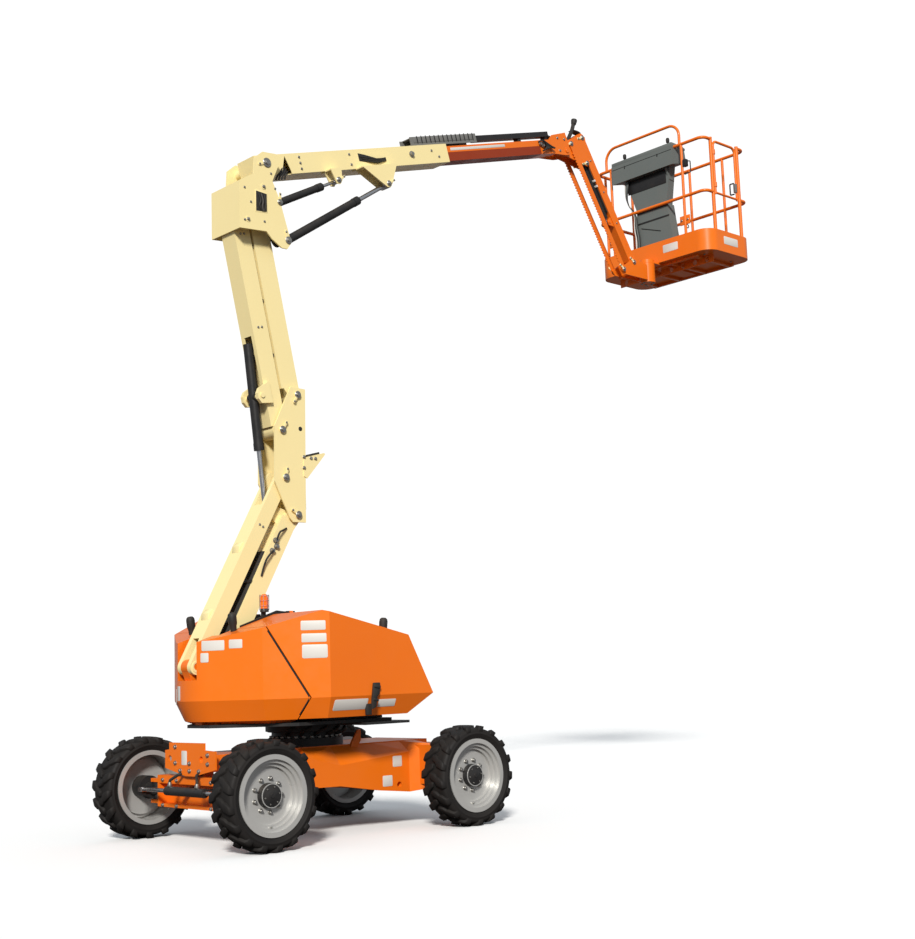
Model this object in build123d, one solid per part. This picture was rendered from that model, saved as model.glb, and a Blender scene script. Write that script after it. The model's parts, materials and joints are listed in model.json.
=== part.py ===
"""Self-propelled articulating boom lift with its tower raised and its jib lowered.

Lengths are millimetres. The origin is on the ground under the swing axis, +X points to the
drive axle, +Z is up, and the near side of the machine is at -Y. A side point is (x, z).
"""
import math
import os

from build123d import *

os.makedirs("parts", exist_ok=True)

# Driving dimensions --------------------------------------------------------------------
WHEELBASE = 1960
OVERALL_WIDTH = 1930
TYRE_RADIUS = 394
TYRE_WIDTH = 254
RIM_RADIUS = 262
FLANGE_RADIUS = 287
FLANGE_THICKNESS = 12
NAVE_RADIUS = 85
NAVE_REACH = 92
KINGPIN_INSET = 228
STEER_ARM_REACH = 150
HINGE_GAP = 0.3
RUNNING_GAP = 5

CHASSIS_HALF_WIDTH = 330
SPONSON_HALF_WIDTH = 450
CHASSIS_TOP = 676
CHASSIS_FLOOR = 370
BEARING_RADIUS = 300
DECK_TOP = 880
DECK_THICKNESS = 24

TAIL_NOSE = -1110
TAIL_NOSE_RADIUS = 450
TAIL_SLOPE = 29.5
HOOD_HALF_WIDTH = 885
HOOD_WALL = 6
HOOD_BOTTOM = 905
KNEE_HEIGHT = 1060
BELLY_HEIGHT = 846
SLOT_HALF_WIDTH = 215
NOSE_SLOT_HALF_WIDTH = 132
SEAM_GAP = 9

LOWER_ARM_PINS = ((-1060, 1315), (-243, 2810))
UPPER_ARM_PINS = ((-270, 3197), (-628, 4870))
LOWER_LINK_OFFSET = (117, -298)
UPPER_LINK_OFFSET = (154, 303)
LOWER_ARM_DEPTH = 120
LOWER_LINK_DEPTH = 148
UPPER_ARM_DEPTH = 150
UPPER_LINK_DEPTH = 172
ARM_WIDTH = 180
ARM_WALL = 8
ARM_SLOT = 100
UPRIGHT_INNER_HALF = 106
UPRIGHT_PLATE = 14
PIN_RADIUS = 24

TOWER_TRUNNION = (-457, 3460)
TOWER_ROD_EYE = (-357, 2566)
TOWER_CYLINDER_RADIUS = 40

TOP_HALF_WIDTH = 205
TOP_PLATE = 14
BOOM_PIVOT = (-440, 5385)
BOOM_ANGLE = 16
BOOM_WIDTH = 236
BOOM_DEPTH = 172
BOOM_WALL = 6
BOOM_LENGTH = 2185
FLY_WIDTH = 176
FLY_DEPTH = 140
FLY_WALL = 8
FLY_REACH = 3860
FLY_OVERLAP = 1100
LIFT_BASE_PIN = (-235, 4766)
LIFT_ROD_PIN = (865, 5494)
LEVEL_BASE_PIN = (-314, 5075)
LEVEL_ROD_PIN = (312, 5407)
CYLINDER_Y = -146
CYLINDER_EYE = 38
LEVEL_EYE = 30

HEAD_OFFSET = (46.48, -53.86)
JIB_RISE = (275, 210)
JIB_LENGTH = 1400
JIB_ANGLE = -58.6
JIB_LINK_OFFSET = (-185, -110)
JIB_TUBE_WIDTH = 90
JIB_TUBE_DEPTH = 100
JIB_LAYERS = ((66, 74), (50, 60), (80, 92))

PLATFORM_LENGTH = 1520
PLATFORM_DEPTH = 760
PLATFORM_AHEAD = 380.59
PLATFORM_ABOVE = 94.97
TOE_BOARD = 190
RAIL_HEIGHT = 1180
MID_RAIL_HEIGHT = 600
ARCH_RISE = 245
RAIL_RADIUS = 17

AXLE_X = WHEELBASE / 2
WHEEL_Y = (OVERALL_WIDTH - TYRE_WIDTH) / 2
KINGPIN_Y = WHEEL_Y - KINGPIN_INSET


# Shapes --------------------------------------------------------------------------------
def plate(outline, y0, y1, corner=0):
    """A side outline of (x, z) points, extruded from y0 to y1."""
    face = make_face(Polyline(*outline, close=True))
    if corner:
        face = fillet(face.vertices(), corner)
    return Rot(90, 0, 0) * Pos(0, 0, -y1) * extrude(face, y1 - y0)


def slab(outline, z0, z1):
    """A plan outline of (x, y) points, extruded from z0 to z1."""
    return Pos(0, 0, z0) * extrude(make_face(Polyline(*outline, close=True)), z1 - z0)


def block(x, y, z):
    """A box from its three (low, high) spans."""
    size = [high - low for low, high in (x, y, z)]
    centre = [(high + low) / 2 for low, high in (x, y, z)]
    return Pos(*centre) * Box(*size)


def rod(start, end, radius):
    """A round bar between two points of space."""
    span = Vector(*end) - Vector(*start)
    bar = Cylinder(radius, span.length, align=(Align.CENTER, Align.CENTER, Align.MIN))
    return Plane(origin=start, z_dir=span).location * bar


def cross_pin(point, half, radius=PIN_RADIUS):
    """A round bar across the machine, centred on the side point."""
    x, z = point
    return rod((x, -half, z), (x, half, z), radius)


def pair(solid):
    """A solid and its mirror image on the far side."""
    return [solid, mirror(solid, about=Plane.XZ)]


def fuse(*solids):
    """One solid from overlapping ones."""
    flat = []
    for solid in solids:
        flat.extend(solid if isinstance(solid, (list, tuple)) else [solid])
    whole = flat[0]
    for solid in flat[1:]:
        whole = whole + solid
    return whole


def bearing(start, end):
    """Angle in degrees of the side direction from start to end."""
    return math.degrees(math.atan2(end[1] - start[1], end[0] - start[0]))


def distance(start, end):
    return math.dist(start, end)


def toward(point, angle, along, across=0):
    """The side point reached from point by going along an angle and across to its left."""
    a = math.radians(angle)
    return (point[0] + along * math.cos(a) - across * math.sin(a),
            point[1] + along * math.sin(a) + across * math.cos(a))


def lay(point, angle):
    """The location whose local X runs along the side angle from the side point."""
    return Pos(point[0], 0, point[1]) * Rot(0, -angle, 0)


def box_tube(start, end, width, depth, wall):
    """A rectangular tube along local X, open at both ends."""
    outer = block((start, end), (-width / 2, width / 2), (-depth / 2, depth / 2))
    inner = block((start - 1, end + 1), (wall - width / 2, width / 2 - wall),
                  (wall - depth / 2, depth / 2 - wall))
    return outer - inner


def convex(*points):
    return ConvexPolyhedron(points)


NODES = {}


# Wheels --------------------------------------------------------------------------------
BEAD_HALF = TYRE_WIDTH / 2 - 23
TYRE_PROFILE = (  # radius, half width
    (RIM_RADIUS, BEAD_HALF), (FLANGE_RADIUS + 6, BEAD_HALF), (FLANGE_RADIUS + 30, TYRE_WIDTH / 2 - 4),
    (TYRE_RADIUS - 42, TYRE_WIDTH / 2), (TYRE_RADIUS - 12, TYRE_WIDTH / 2 - 4), (TYRE_RADIUS, TYRE_WIDTH / 2 - 24))
DISC_STEPS = (  # outer radius, depth of the ring's face inboard of the flange face
    (RIM_RADIUS - 10, 26), (RIM_RADIUS - 34, 52), (RIM_RADIUS - 58, 78))
DISC_THICKNESS = 14


def tyre():
    """A pneumatic tyre about the Y axis."""
    half = [(r, y) for r, y in TYRE_PROFILE] + [(r, -y) for r, y in reversed(TYRE_PROFILE)]
    return Rot(90, 0, 0) * revolve(Plane.XZ * make_face(Polyline(*half, close=True)), Axis.Z)


def ring(outer, inner, y0, y1):
    """A ring about the Y axis from y0 to y1."""
    return rod((0, y0, 0), (0, y1, 0), outer) - rod((0, y0 - 1, 0), (0, y1 + 1, 0), inner)


def rim():
    """A stepped steel wheel, outboard towards -Y, with its nave in the middle."""
    flange_face = BEAD_HALF + HINGE_GAP + FLANGE_THICKNESS
    rings = [ring(RIM_RADIUS - HINGE_GAP, RIM_RADIUS - 10, -flange_face, flange_face)]
    for side in (-1, 1):
        y0, y1 = sorted((side * (BEAD_HALF + HINGE_GAP), side * flange_face))
        rings.append(ring(FLANGE_RADIUS, RIM_RADIUS - 10, y0, y1))
    for (outer, depth), (inner, after) in zip(DISC_STEPS, DISC_STEPS[1:] + ((NAVE_RADIUS - 5, 0),)):
        face = depth - flange_face
        rings.append(ring(outer + 1, inner, face, face + DISC_THICKNESS))
        if after:
            rings.append(ring(inner + 8, inner, face, after - flange_face + DISC_THICKNESS))
    last = DISC_STEPS[-1][1] - flange_face
    nave = rod((0, last + DISC_THICKNESS, 0), (0, -NAVE_REACH, 0), NAVE_RADIUS)
    return fuse(*rings, nave)


STATIONS = (  # name, x, side, outboard turn
    ("front_near", -AXLE_X, -1, 0), ("front_far", -AXLE_X, 1, 180),
    ("rear_near", AXLE_X, -1, 0), ("rear_far", AXLE_X, 1, 180))
one_tyre, one_rim = tyre(), rim()
for name, x, side, turn in STATIONS:
    seat = Pos(x, side * WHEEL_Y, TYRE_RADIUS) * Rot(0, 0, turn)
    NODES["tyre_" + name] = seat * one_tyre
    NODES["rim_" + name] = seat * one_rim

# Chassis -------------------------------------------------------------------------------
FRONT_PLATE_X = -AXLE_X - 80
FRONT_PLATE_TOP = 752
NECK_HALF_WIDTH = 250
NECK_END_X = -520
REAR_BOX = (AXLE_X - 220, AXLE_X + 140)
REAR_HALF_WIDTH = WHEEL_Y - 238
AXLE_BEAM_HALF = KINGPIN_Y - 90
AXLE_BEAM = (-AXLE_X - 60, -AXLE_X + 50)
AXLE_BEAM_HEIGHT = (262, 500)
NAVE_BACK = WHEEL_Y + BEAD_HALF + FLANGE_THICKNESS - DISC_STEPS[-1][1] - DISC_THICKNESS
TIE_DOWN = (AXLE_X - 387, 334)
TIE_DOWN_RADIUS = 24
HUB_STEP_Y = REAR_HALF_WIDTH + 120
SPONSON = (  # x, top edge height, lower edge height
    (-300, 598, 372), (0, 524, 366), (395, 560, 303), (REAR_BOX[0] - 60, 590, 270))


def sponsons():
    """The side boxes under the turntable, with tops that slope down to a notched edge."""
    shapes = []
    inner, outer = CHASSIS_HALF_WIDTH - 10, SPONSON_HALF_WIDTH
    for (x0, top0, low0), (x1, top1, low1) in zip(SPONSON, SPONSON[1:]):
        corners = [(x, -y, z) for x, top, low in ((x0, top0, low0), (x1, top1, low1))
                   for y, z in ((inner, CHASSIS_TOP), (outer, top), (outer, low), (inner, low))]
        shapes += pair(convex(*corners))
    return shapes


def flares():
    """The boxes that widen from the sponsons to the drive axle's cross box."""
    x0, top0, low0 = SPONSON[-1]
    x1 = REAR_BOX[0] + 90
    corners = [(x0, -SPONSON_HALF_WIDTH, top0), (x0, -SPONSON_HALF_WIDTH, low0), (x0, -300, CHASSIS_TOP),
               (x0, -300, low0), (x1, -REAR_HALF_WIDTH, 640), (x1, -REAR_HALF_WIDTH, 300),
               (x1, -300, CHASSIS_TOP), (x1, -300, 300)]
    return pair(convex(*corners))


def chassis_frame():
    spine = block((-340, AXLE_X + 20), (-CHASSIS_HALF_WIDTH, CHASSIS_HALF_WIDTH), (CHASSIS_FLOOR, CHASSIS_TOP))
    neck = block((FRONT_PLATE_X, -330), (-NECK_HALF_WIDTH, NECK_HALF_WIDTH), (540, CHASSIS_TOP - 12))
    shoulders = pair(convex(*[(x, -y, z) for x, y in ((-520, NECK_HALF_WIDTH - 5), (-300, 320), (-300, 250))
                              for z in (CHASSIS_FLOOR + 60, CHASSIS_TOP - 12)]))
    front = Rot(0, 0, 90) * plate(((-350, 560), (-60, 506), (60, 506), (350, 560), (350, 694), (290, 700),
                                   (290, FRONT_PLATE_TOP), (-200, FRONT_PLATE_TOP), (-200, 700), (-350, 694)),
                                  -FRONT_PLATE_X, 14 - FRONT_PLATE_X)
    hitch_holes = [rod((FRONT_PLATE_X - 30, y, 632), (FRONT_PLATE_X + 5, y, 632), 24) for y in (-160, 280)]
    rear = block(REAR_BOX, (-REAR_HALF_WIDTH, REAR_HALF_WIDTH), (330, 640))
    ear = plate(((180, 640), (250, 640), (290, 700), (290, 786), (262, 786), (200, 690)), -346, -326)
    axle_post = block((AXLE_BEAM[0] + 10, AXLE_BEAM[1] - 10), (-120, 120), (AXLE_BEAM_HEIGHT[1], 560))
    frame = fuse(spine, neck, shoulders, front, rear, ear, axle_post, *sponsons(), *flares())
    for hole in hitch_holes:
        frame = frame - hole
    tie = rod((TIE_DOWN[0], -SPONSON_HALF_WIDTH - 20, TIE_DOWN[1]),
              (TIE_DOWN[0], -CHASSIS_HALF_WIDTH - 60, TIE_DOWN[1]), TIE_DOWN_RADIUS)
    for hole in pair(tie):
        frame = frame - hole
    return frame


def steer_axle():
    """A channel beam that opens forward, with a kingpin fork at each end."""
    low, high = AXLE_BEAM_HEIGHT
    beam = block(AXLE_BEAM, (-AXLE_BEAM_HALF, AXLE_BEAM_HALF), (low, high))
    hollow = block((AXLE_BEAM[0] - 1, AXLE_BEAM[1] - 22), (-AXLE_BEAM_HALF + 20, AXLE_BEAM_HALF - 20),
                   (low + 24, high - 60))
    yokes = []
    for z0, z1 in ((low + 20, low + 48), (high - 58, high - 30)):
        yokes += pair(block((-AXLE_X - 42, -AXLE_X + 42), (-KINGPIN_Y - 42, -AXLE_BEAM_HALF + 10), (z0, z1)))
    kingpins = pair(rod((-AXLE_X, -KINGPIN_Y, low + 20), (-AXLE_X, -KINGPIN_Y, high - 30), 18))
    return fuse(beam - hollow, *yokes, *kingpins)


def drive_hub():
    """The near reduction gear, from the rear cross box to the wheel's disc."""
    case = rod((AXLE_X, -REAR_HALF_WIDTH, TYRE_RADIUS), (AXLE_X, -HUB_STEP_Y, TYRE_RADIUS), 120)
    return fuse(case, rod((AXLE_X, 1 - HUB_STEP_Y, TYRE_RADIUS), (AXLE_X, -NAVE_BACK, TYRE_RADIUS), 96))


low, high = AXLE_BEAM_HEIGHT
YOKE_LOW, YOKE_HIGH = low + 48, high - 58


def knuckle():
    """The near steering knuckle: kingpin barrel, stub to the wheel, and steering arm."""
    gap = HINGE_GAP * 3
    barrel = rod((0, 0, YOKE_LOW + gap), (0, 0, YOKE_HIGH - gap), 40)
    barrel = barrel - rod((0, 0, 0), (0, 0, 900), 18 + HINGE_GAP)
    stub = rod((0, -30, TYRE_RADIUS), (0, -160, TYRE_RADIUS), 42)
    hub = rod((0, -130, TYRE_RADIUS), (0, KINGPIN_Y - NAVE_BACK, TYRE_RADIUS), 90)
    arm = slab(((-STEER_ARM_REACH - 22, -28), (-STEER_ARM_REACH - 22, 22), (0, 34), (0, -34)),
               STEER_ARM_LEVEL, STEER_ARM_LEVEL + 22)
    keep_clear = rod((0, 0, 0), (0, 0, 900), 18 + HINGE_GAP)
    return Pos(-AXLE_X, -KINGPIN_Y, 0) * (fuse(barrel, stub, hub, arm) - keep_clear)


STEER_ARM_LEVEL = 352
RACK_LEVEL = STEER_ARM_LEVEL + 22 + 3
RACK_X = -AXLE_X - STEER_ARM_REACH
RACK_BARREL = (-300, 230)
near_knuckle = knuckle()
NODES["knuckle_near"] = near_knuckle
NODES["knuckle_far"] = mirror(near_knuckle, about=Plane.XZ)
rack_height = RACK_LEVEL + 20
ram = rod((RACK_X, RACK_BARREL[0], rack_height), (RACK_X, RACK_BARREL[1], rack_height), 34)
ram = ram - rod((RACK_X, -400, rack_height), (RACK_X, 400, rack_height), 16 + HINGE_GAP)
ram_lugs = [block((RACK_X + 20, AXLE_BEAM[1] - 22), (y - 14, y + 14), (rack_height - 18, rack_height + 18))
            for y in (-180, 150)]
ram_lugs = [lug - rod((RACK_X, -400, rack_height), (RACK_X, 400, rack_height), 20) for lug in ram_lugs]
NODES["chassis_frame"] = chassis_frame()
NODES["steer_axle"] = steer_axle()
near_drive_hub = drive_hub()
NODES["drive_hub_near"] = near_drive_hub
NODES["drive_hub_far"] = mirror(near_drive_hub, about=Plane.XZ)
NODES["steering_cylinder"] = fuse(ram, *ram_lugs)
NODES["steering_rod"] = fuse(
    rod((RACK_X, -KINGPIN_Y + 20, rack_height), (RACK_X, KINGPIN_Y - 20, rack_height), 16),
    *pair(block((RACK_X - 20, RACK_X + 20), (-KINGPIN_Y - 22, -KINGPIN_Y + 44), (RACK_LEVEL, RACK_LEVEL + 34))))
NODES["swing_bearing"] = fuse(
    rod((0, 0, CHASSIS_TOP), (0, 0, DECK_TOP - DECK_THICKNESS - HINGE_GAP), BEARING_RADIUS - 30),
    rod((0, 0, CHASSIS_TOP), (0, 0, CHASSIS_TOP + 60), BEARING_RADIUS),
    rod((0, 0, DECK_TOP - DECK_THICKNESS - 70), (0, 0, DECK_TOP - DECK_THICKNESS - HINGE_GAP), BEARING_RADIUS))

# Turntable -----------------------------------------------------------------------------
PEAK = (-455, 1705)
TAIL_TOP = (-1140, 1484)
HOOD_NOSE = (600, KNEE_HEIGHT)
HOOD_FRONT_TOP = (360, 1515)
HOOD_FRONT_FOOT = (380, HOOD_BOTTOM)
CORNER = (-410, -HOOD_HALF_WIDTH)
CREASE = (-828, -615)
SEAM = ((-806, 1590), (-536, KNEE_HEIGHT), (-575, HOOD_BOTTOM))
SLOT_FLOOR = 1215
TAIL_INSETS = (0, 70, 250)
nose_turn = math.radians(TAIL_SLOPE)
NOSE_TANGENT = (TAIL_NOSE + TAIL_NOSE_RADIUS * (1 - math.cos(nose_turn)), -TAIL_NOSE_RADIUS * math.sin(nose_turn))
NOSE_WALL = 26


def tail_plan(inset, front=300):
    """The plan of the turntable's tail: a rounded nose, flat faces and side facets."""
    near = [NOSE_TANGENT, CREASE, CORNER, (front, CORNER[1])]
    scale = (HOOD_HALF_WIDTH - inset) / HOOD_HALF_WIDTH
    near = [(x + inset * (1 - (x - TAIL_NOSE) / (front - TAIL_NOSE)), y * scale) for x, y in near]
    far = [(x, -y) for x, y in reversed(near)]
    nose = ThreePointArc(far[-1], (TAIL_NOSE + inset, 0), near[0])
    return make_face([nose, Polyline(*near, *far)])


def tail_levels():
    """The tail from its belly up to the height of the knee."""
    levels = zip(TAIL_INSETS, (KNEE_HEIGHT, HOOD_BOTTOM, BELLY_HEIGHT))
    faces = [Pos(0, 0, z) * tail_plan(inset) for inset, z in levels]
    skirt = loft([faces[1], faces[0]], ruled=True)
    belly = loft([faces[2], faces[1]], ruled=True)
    return skirt + belly


def seam_side(gap, front=True):
    """Everything ahead of the seam, or behind it, for cutting."""
    line = [(x + gap, z) for x, z in SEAM]
    line = [toward(line[0], bearing(line[1], line[0]), 400)] + line[1:] + [(line[2][0], 700)]
    edge = 1500 if front else -2500
    return plate(line + [(edge, 700), (edge, line[0][1])], -1000, 1000)


def tail_body():
    """The cast tail, slotted for the tower's foot."""
    upper = Pos(0, 0, KNEE_HEIGHT) * extrude(tail_plan(0), 800)
    body = upper + tail_levels()
    roof = plate((TAIL_TOP, PEAK, (500, PEAK[1]), (500, 2000), (TAIL_TOP[0], 2000)), -1000, 1000)
    body = body - roof - seam_side(0)
    slot = block((-1400, -940), (-NOSE_SLOT_HALF_WIDTH, NOSE_SLOT_HALF_WIDTH), (SLOT_FLOOR, 1900))
    well = block((-950, 0), (-SLOT_HALF_WIDTH, SLOT_HALF_WIDTH), (BELLY_HEIGHT - 10, 1900))
    pocket = plate(((NOSE_WALL + TAIL_NOSE, SLOT_FLOOR + 5), (NOSE_WALL + TAIL_NOSE + 10, 1130), (-1030, 1060),
                    (-1012, 1000), (-1012, DECK_TOP), (-900, DECK_TOP), (-900, SLOT_FLOOR + 5)),
                   -NOSE_SLOT_HALF_WIDTH, NOSE_SLOT_HALF_WIDTH)
    body = body - slot - well - pocket - block((-1200, 400), (-1000, 1000), (DECK_TOP - DECK_THICKNESS, DECK_TOP))
    return max(body.solids(), key=lambda solid: solid.volume)


NODES["counterweight"] = tail_body()


def hood_shape(wall):
    """The near hood as a faceted body, its faces moved in by the wall."""
    half, inner = HOOD_HALF_WIDTH - wall, SLOT_HALF_WIDTH + 4
    side = offset(make_face(Polyline((-1500, PEAK[1]), PEAK, HOOD_FRONT_TOP, HOOD_NOSE, (HOOD_NOSE[0], 700),
                                     (-1500, 700), close=True)), -wall, kind=Kind.INTERSECTION)
    profile = Rot(90, 0, 0) * Pos(0, 0, -1000) * extrude(side, 2000)
    roof = plate(((TAIL_TOP[0], TAIL_TOP[1] - wall), (PEAK[0], PEAK[1] - wall), (PEAK[0], 2000), (TAIL_TOP[0], 2000)),
                 -1000, 1000)
    run = math.dist(CORNER, CREASE)
    lean = ((CORNER[1] - CREASE[1]) / run, (CREASE[0] - CORNER[0]) / run)
    rear = [(x - lean[0] * wall, y - lean[1] * wall) for x, y in (CREASE, CORNER)]
    corner = (rear[1][0] + (-half - rear[1][1]) * (rear[1][0] - rear[0][0]) / (rear[1][1] - rear[0][1]), -half)
    plan = [rear[0], corner, (HOOD_NOSE[0], -half), (HOOD_NOSE[0], -inner), (rear[0][0], -inner)]
    foot_half = half - TAIL_INSETS[1]
    foot = [(rear[0][0] + 60, rear[0][1] + 50), (corner[0] + 20, -foot_half), (HOOD_FRONT_FOOT[0] - wall * 2, -foot_half),
            (HOOD_FRONT_FOOT[0] - wall * 2, -inner), (rear[0][0], -inner)]
    nose = HOOD_NOSE[0] - wall * 1.2
    knee = [(min(x, nose), y, KNEE_HEIGHT) for x, y in plan]
    upper = slab(plan, KNEE_HEIGHT, 1900)
    lower = convex(*knee, *[(x, y, HOOD_BOTTOM) for x, y in foot])
    return (upper & profile) - roof + lower


def hood():
    """The near hood shell, open below and towards the slot."""
    shell = hood_shape(0) - hood_shape(HOOD_WALL)
    shell = shell - block((-1500, 900), (-1000, 0), (HOOD_BOTTOM - 100, HOOD_BOTTOM + 2))
    shell = shell - block((-1500, 900), (-SLOT_HALF_WIDTH - 24, 0), (HOOD_BOTTOM, 1900))
    return shell - seam_side(SEAM_GAP, front=False)


HOOD_HINGE = (-243, 1720)
HINGE_STATIONS = ((-300, 1662, 1690), (-40, 1602, 1670))  # x, lowest of the hood's lug, lowest of the cover's lugs


def hood_hinges():
    """The sleeves on the near hood that turn on the guard plate's pins."""
    y, z = HOOD_HINGE
    sleeves = []
    for x, foot, _ in HINGE_STATIONS:
        sleeves.append(rod((x - 15, y, z), (x + 15, y, z), 12))
        sleeves.append(block((x - 15, x + 15), (y - 20, y - 3), (foot, z)))
    return sleeves


hinge_bore = rod((-600, HOOD_HINGE[0], HOOD_HINGE[1]), (100, HOOD_HINGE[0], HOOD_HINGE[1]), 6 + HINGE_GAP)
near_hood = fuse(hood(), *hood_hinges()) - hinge_bore
NODES["hood_near"] = near_hood
NODES["hood_far"] = mirror(near_hood, about=Plane.XZ)
DECK_HALF_WIDTH = 690


def turntable_deck():
    """Two rails beside the tower, tied by a cross plate, and the tower's pivot lug."""
    tie = block((-940, -100), (-RAIL_PLATES[1], RAIL_PLATES[1]), (DECK_TOP, DECK_TOP + 12))
    rails = pair(plate(((-930, DECK_TOP), (330, DECK_TOP), (330, 1080), (100, 1180), (-700, 1180),
                        (-930, 1120)), -RAIL_PLATES[1], -RAIL_PLATES[0]))
    t1 = LOWER_ARM_PINS[0]
    t2 = (t1[0] + LOWER_LINK_OFFSET[0], t1[1] + LOWER_LINK_OFFSET[1])
    lug = fuse(cross_pin(t1, LUG_HALF, 60), cross_pin(t2, LUG_HALF, 60),
               plate((toward(t1, 20, 58), toward(t2, 20, 58), (t2[0] + 60, DECK_TOP), (t2[0] - 50, DECK_TOP),
                      toward(t2, 200, 58), toward(t1, 200, 58)), -LUG_HALF, LUG_HALF))
    pins = [cross_pin(point, ARM_WIDTH / 2 - 1) for point in (t1, t2)]
    return fuse(tie, *rails, lug, *pins)


def deck_plate():
    """The black floor plate of the turntable."""
    floor = slab(((-1000, -150), (-1000, 150), (-560, DECK_HALF_WIDTH), (330, DECK_HALF_WIDTH), (330, -DECK_HALF_WIDTH),
                  (-560, -DECK_HALF_WIDTH)), DECK_TOP - DECK_THICKNESS, DECK_TOP)
    return floor - block((130, 400), (-ARM_WIDTH / 2 - 20, ARM_WIDTH / 2 + 20), (800, 900))


RAIL_PLATES = (142, 154)
LUG_HALF = 44
NODES["turntable_deck"] = turntable_deck()
NODES["deck_plate"] = deck_plate()
ENGINE = ((-330, 250), (-680, -300), (DECK_TOP, 1380))
NODES["engine_block"] = block(*ENGINE)
NODES["fuel_tank"] = block((-300, 230), (330, 660), (DECK_TOP, 1250))
TRAY_DEPTH = 20
NODES["engine_tray"] = block((-20, 420), (-800, -420),
                             (DECK_TOP - DECK_THICKNESS - TRAY_DEPTH, DECK_TOP - DECK_THICKNESS))
COVER_PLATE = (SLOT_HALF_WIDTH + 2, SLOT_HALF_WIDTH + 12)
COVER_EDGE = ((-760, 1618), (-420, 1735), (-60, 1700), (60, 1655))


def top_cover():
    """The black guard plates inside the hoods, each standing on the deck."""
    outline = list(COVER_EDGE) + [(60, 1560), (-120, 1500), (-120, DECK_TOP), (-420, DECK_TOP), (-420, 1560),
                                  (-760, 1560)]
    y, z = HOOD_HINGE
    cover = plate(outline, -COVER_PLATE[1], -COVER_PLATE[0])
    for x, _, foot in HINGE_STATIONS:
        cover = cover + rod((x - 34, y, z), (x + 34, y, z), 6)
        for side in (-28, 28):
            cover = cover + block((x + side - 6, x + side + 6), (y - 9, -COVER_PLATE[0] - 3), (foot, z + 10))
    return cover


near_cover = top_cover()
NODES["cover_near"] = near_cover
NODES["cover_far"] = mirror(near_cover, about=Plane.XZ)
BEACON = (-537, -226, 1722)
NODES["beacon"] = fuse(
    block((BEACON[0] - 22, BEACON[0] + 22), (-COVER_PLATE[0], 8 - COVER_PLATE[0]), (BEACON[2] - 82, BEACON[2] + 1)),
    rod(BEACON, (BEACON[0], BEACON[1], BEACON[2] + 23), 34),
    rod((BEACON[0], BEACON[1], BEACON[2] + 22), (BEACON[0], BEACON[1], BEACON[2] + 140), 28))

# Tower ---------------------------------------------------------------------------------
T1, C = LOWER_ARM_PINS
B, U1 = UPPER_ARM_PINS
T2 = (T1[0] + LOWER_LINK_OFFSET[0], T1[1] + LOWER_LINK_OFFSET[1])
D = (C[0] + LOWER_LINK_OFFSET[0], C[1] + LOWER_LINK_OFFSET[1])
A = (B[0] + UPPER_LINK_OFFSET[0], B[1] + UPPER_LINK_OFFSET[1])
U2 = (U1[0] + UPPER_LINK_OFFSET[0], U1[1] + UPPER_LINK_OFFSET[1])
BORE = PIN_RADIUS + HINGE_GAP
LOWER_FORK = 400
LOWER_FORK_TOP = 285
TAIL_FORK = 215
STUB_INNER = ARM_SLOT / 2 + 1


def lower_arm():
    """The tower's lower arm, forked at both ends and slotted for the lift cylinder."""
    length = distance(T1, C)
    half_w, half_d = ARM_WIDTH / 2, LOWER_ARM_DEPTH / 2
    shell = box_tube(0, length, ARM_WIDTH, LOWER_ARM_DEPTH, ARM_WALL)
    cheeks = pair(block((length - LOWER_FORK - 60, length), (-half_w, -ARM_SLOT / 2), (-half_d, half_d)))
    cheeks += pair(block((0, TAIL_FORK + 40), (-half_w, -LUG_HALF - HINGE_GAP * 4), (-half_d, half_d)))
    ends = pair(rod((length, -half_w, 0), (length, -ARM_SLOT / 2, 0), half_d))
    ends += pair(rod((0, -half_w, 0), (0, -LUG_HALF - HINGE_GAP * 4, 0), half_d))
    arm = fuse(shell, *cheeks, *ends)
    lift_slot = block((length - LOWER_FORK, length + 200), (-ARM_SLOT / 2, ARM_SLOT / 2), (-200, 0))
    top_slot = block((length - LOWER_FORK_TOP, length + 200), (-ARM_SLOT / 2, ARM_SLOT / 2), (-1, 200))
    lug_slot = block((-200, TAIL_FORK), (-LUG_HALF - HINGE_GAP * 4, LUG_HALF + HINGE_GAP * 4), (-200, 200))
    arm = arm - lift_slot - top_slot - lug_slot
    for x in (0, length):
        arm = arm - rod((x, -200, 0), (x, 200, 0), BORE)
    return lay(T1, bearing(T1, C)) * arm


HORN_HALF = 43
EYE_HALF = 26
EYE_RADIUS = 34
EYE_POCKET = 85
LOWER_LINK_SHIFT = 34


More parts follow.
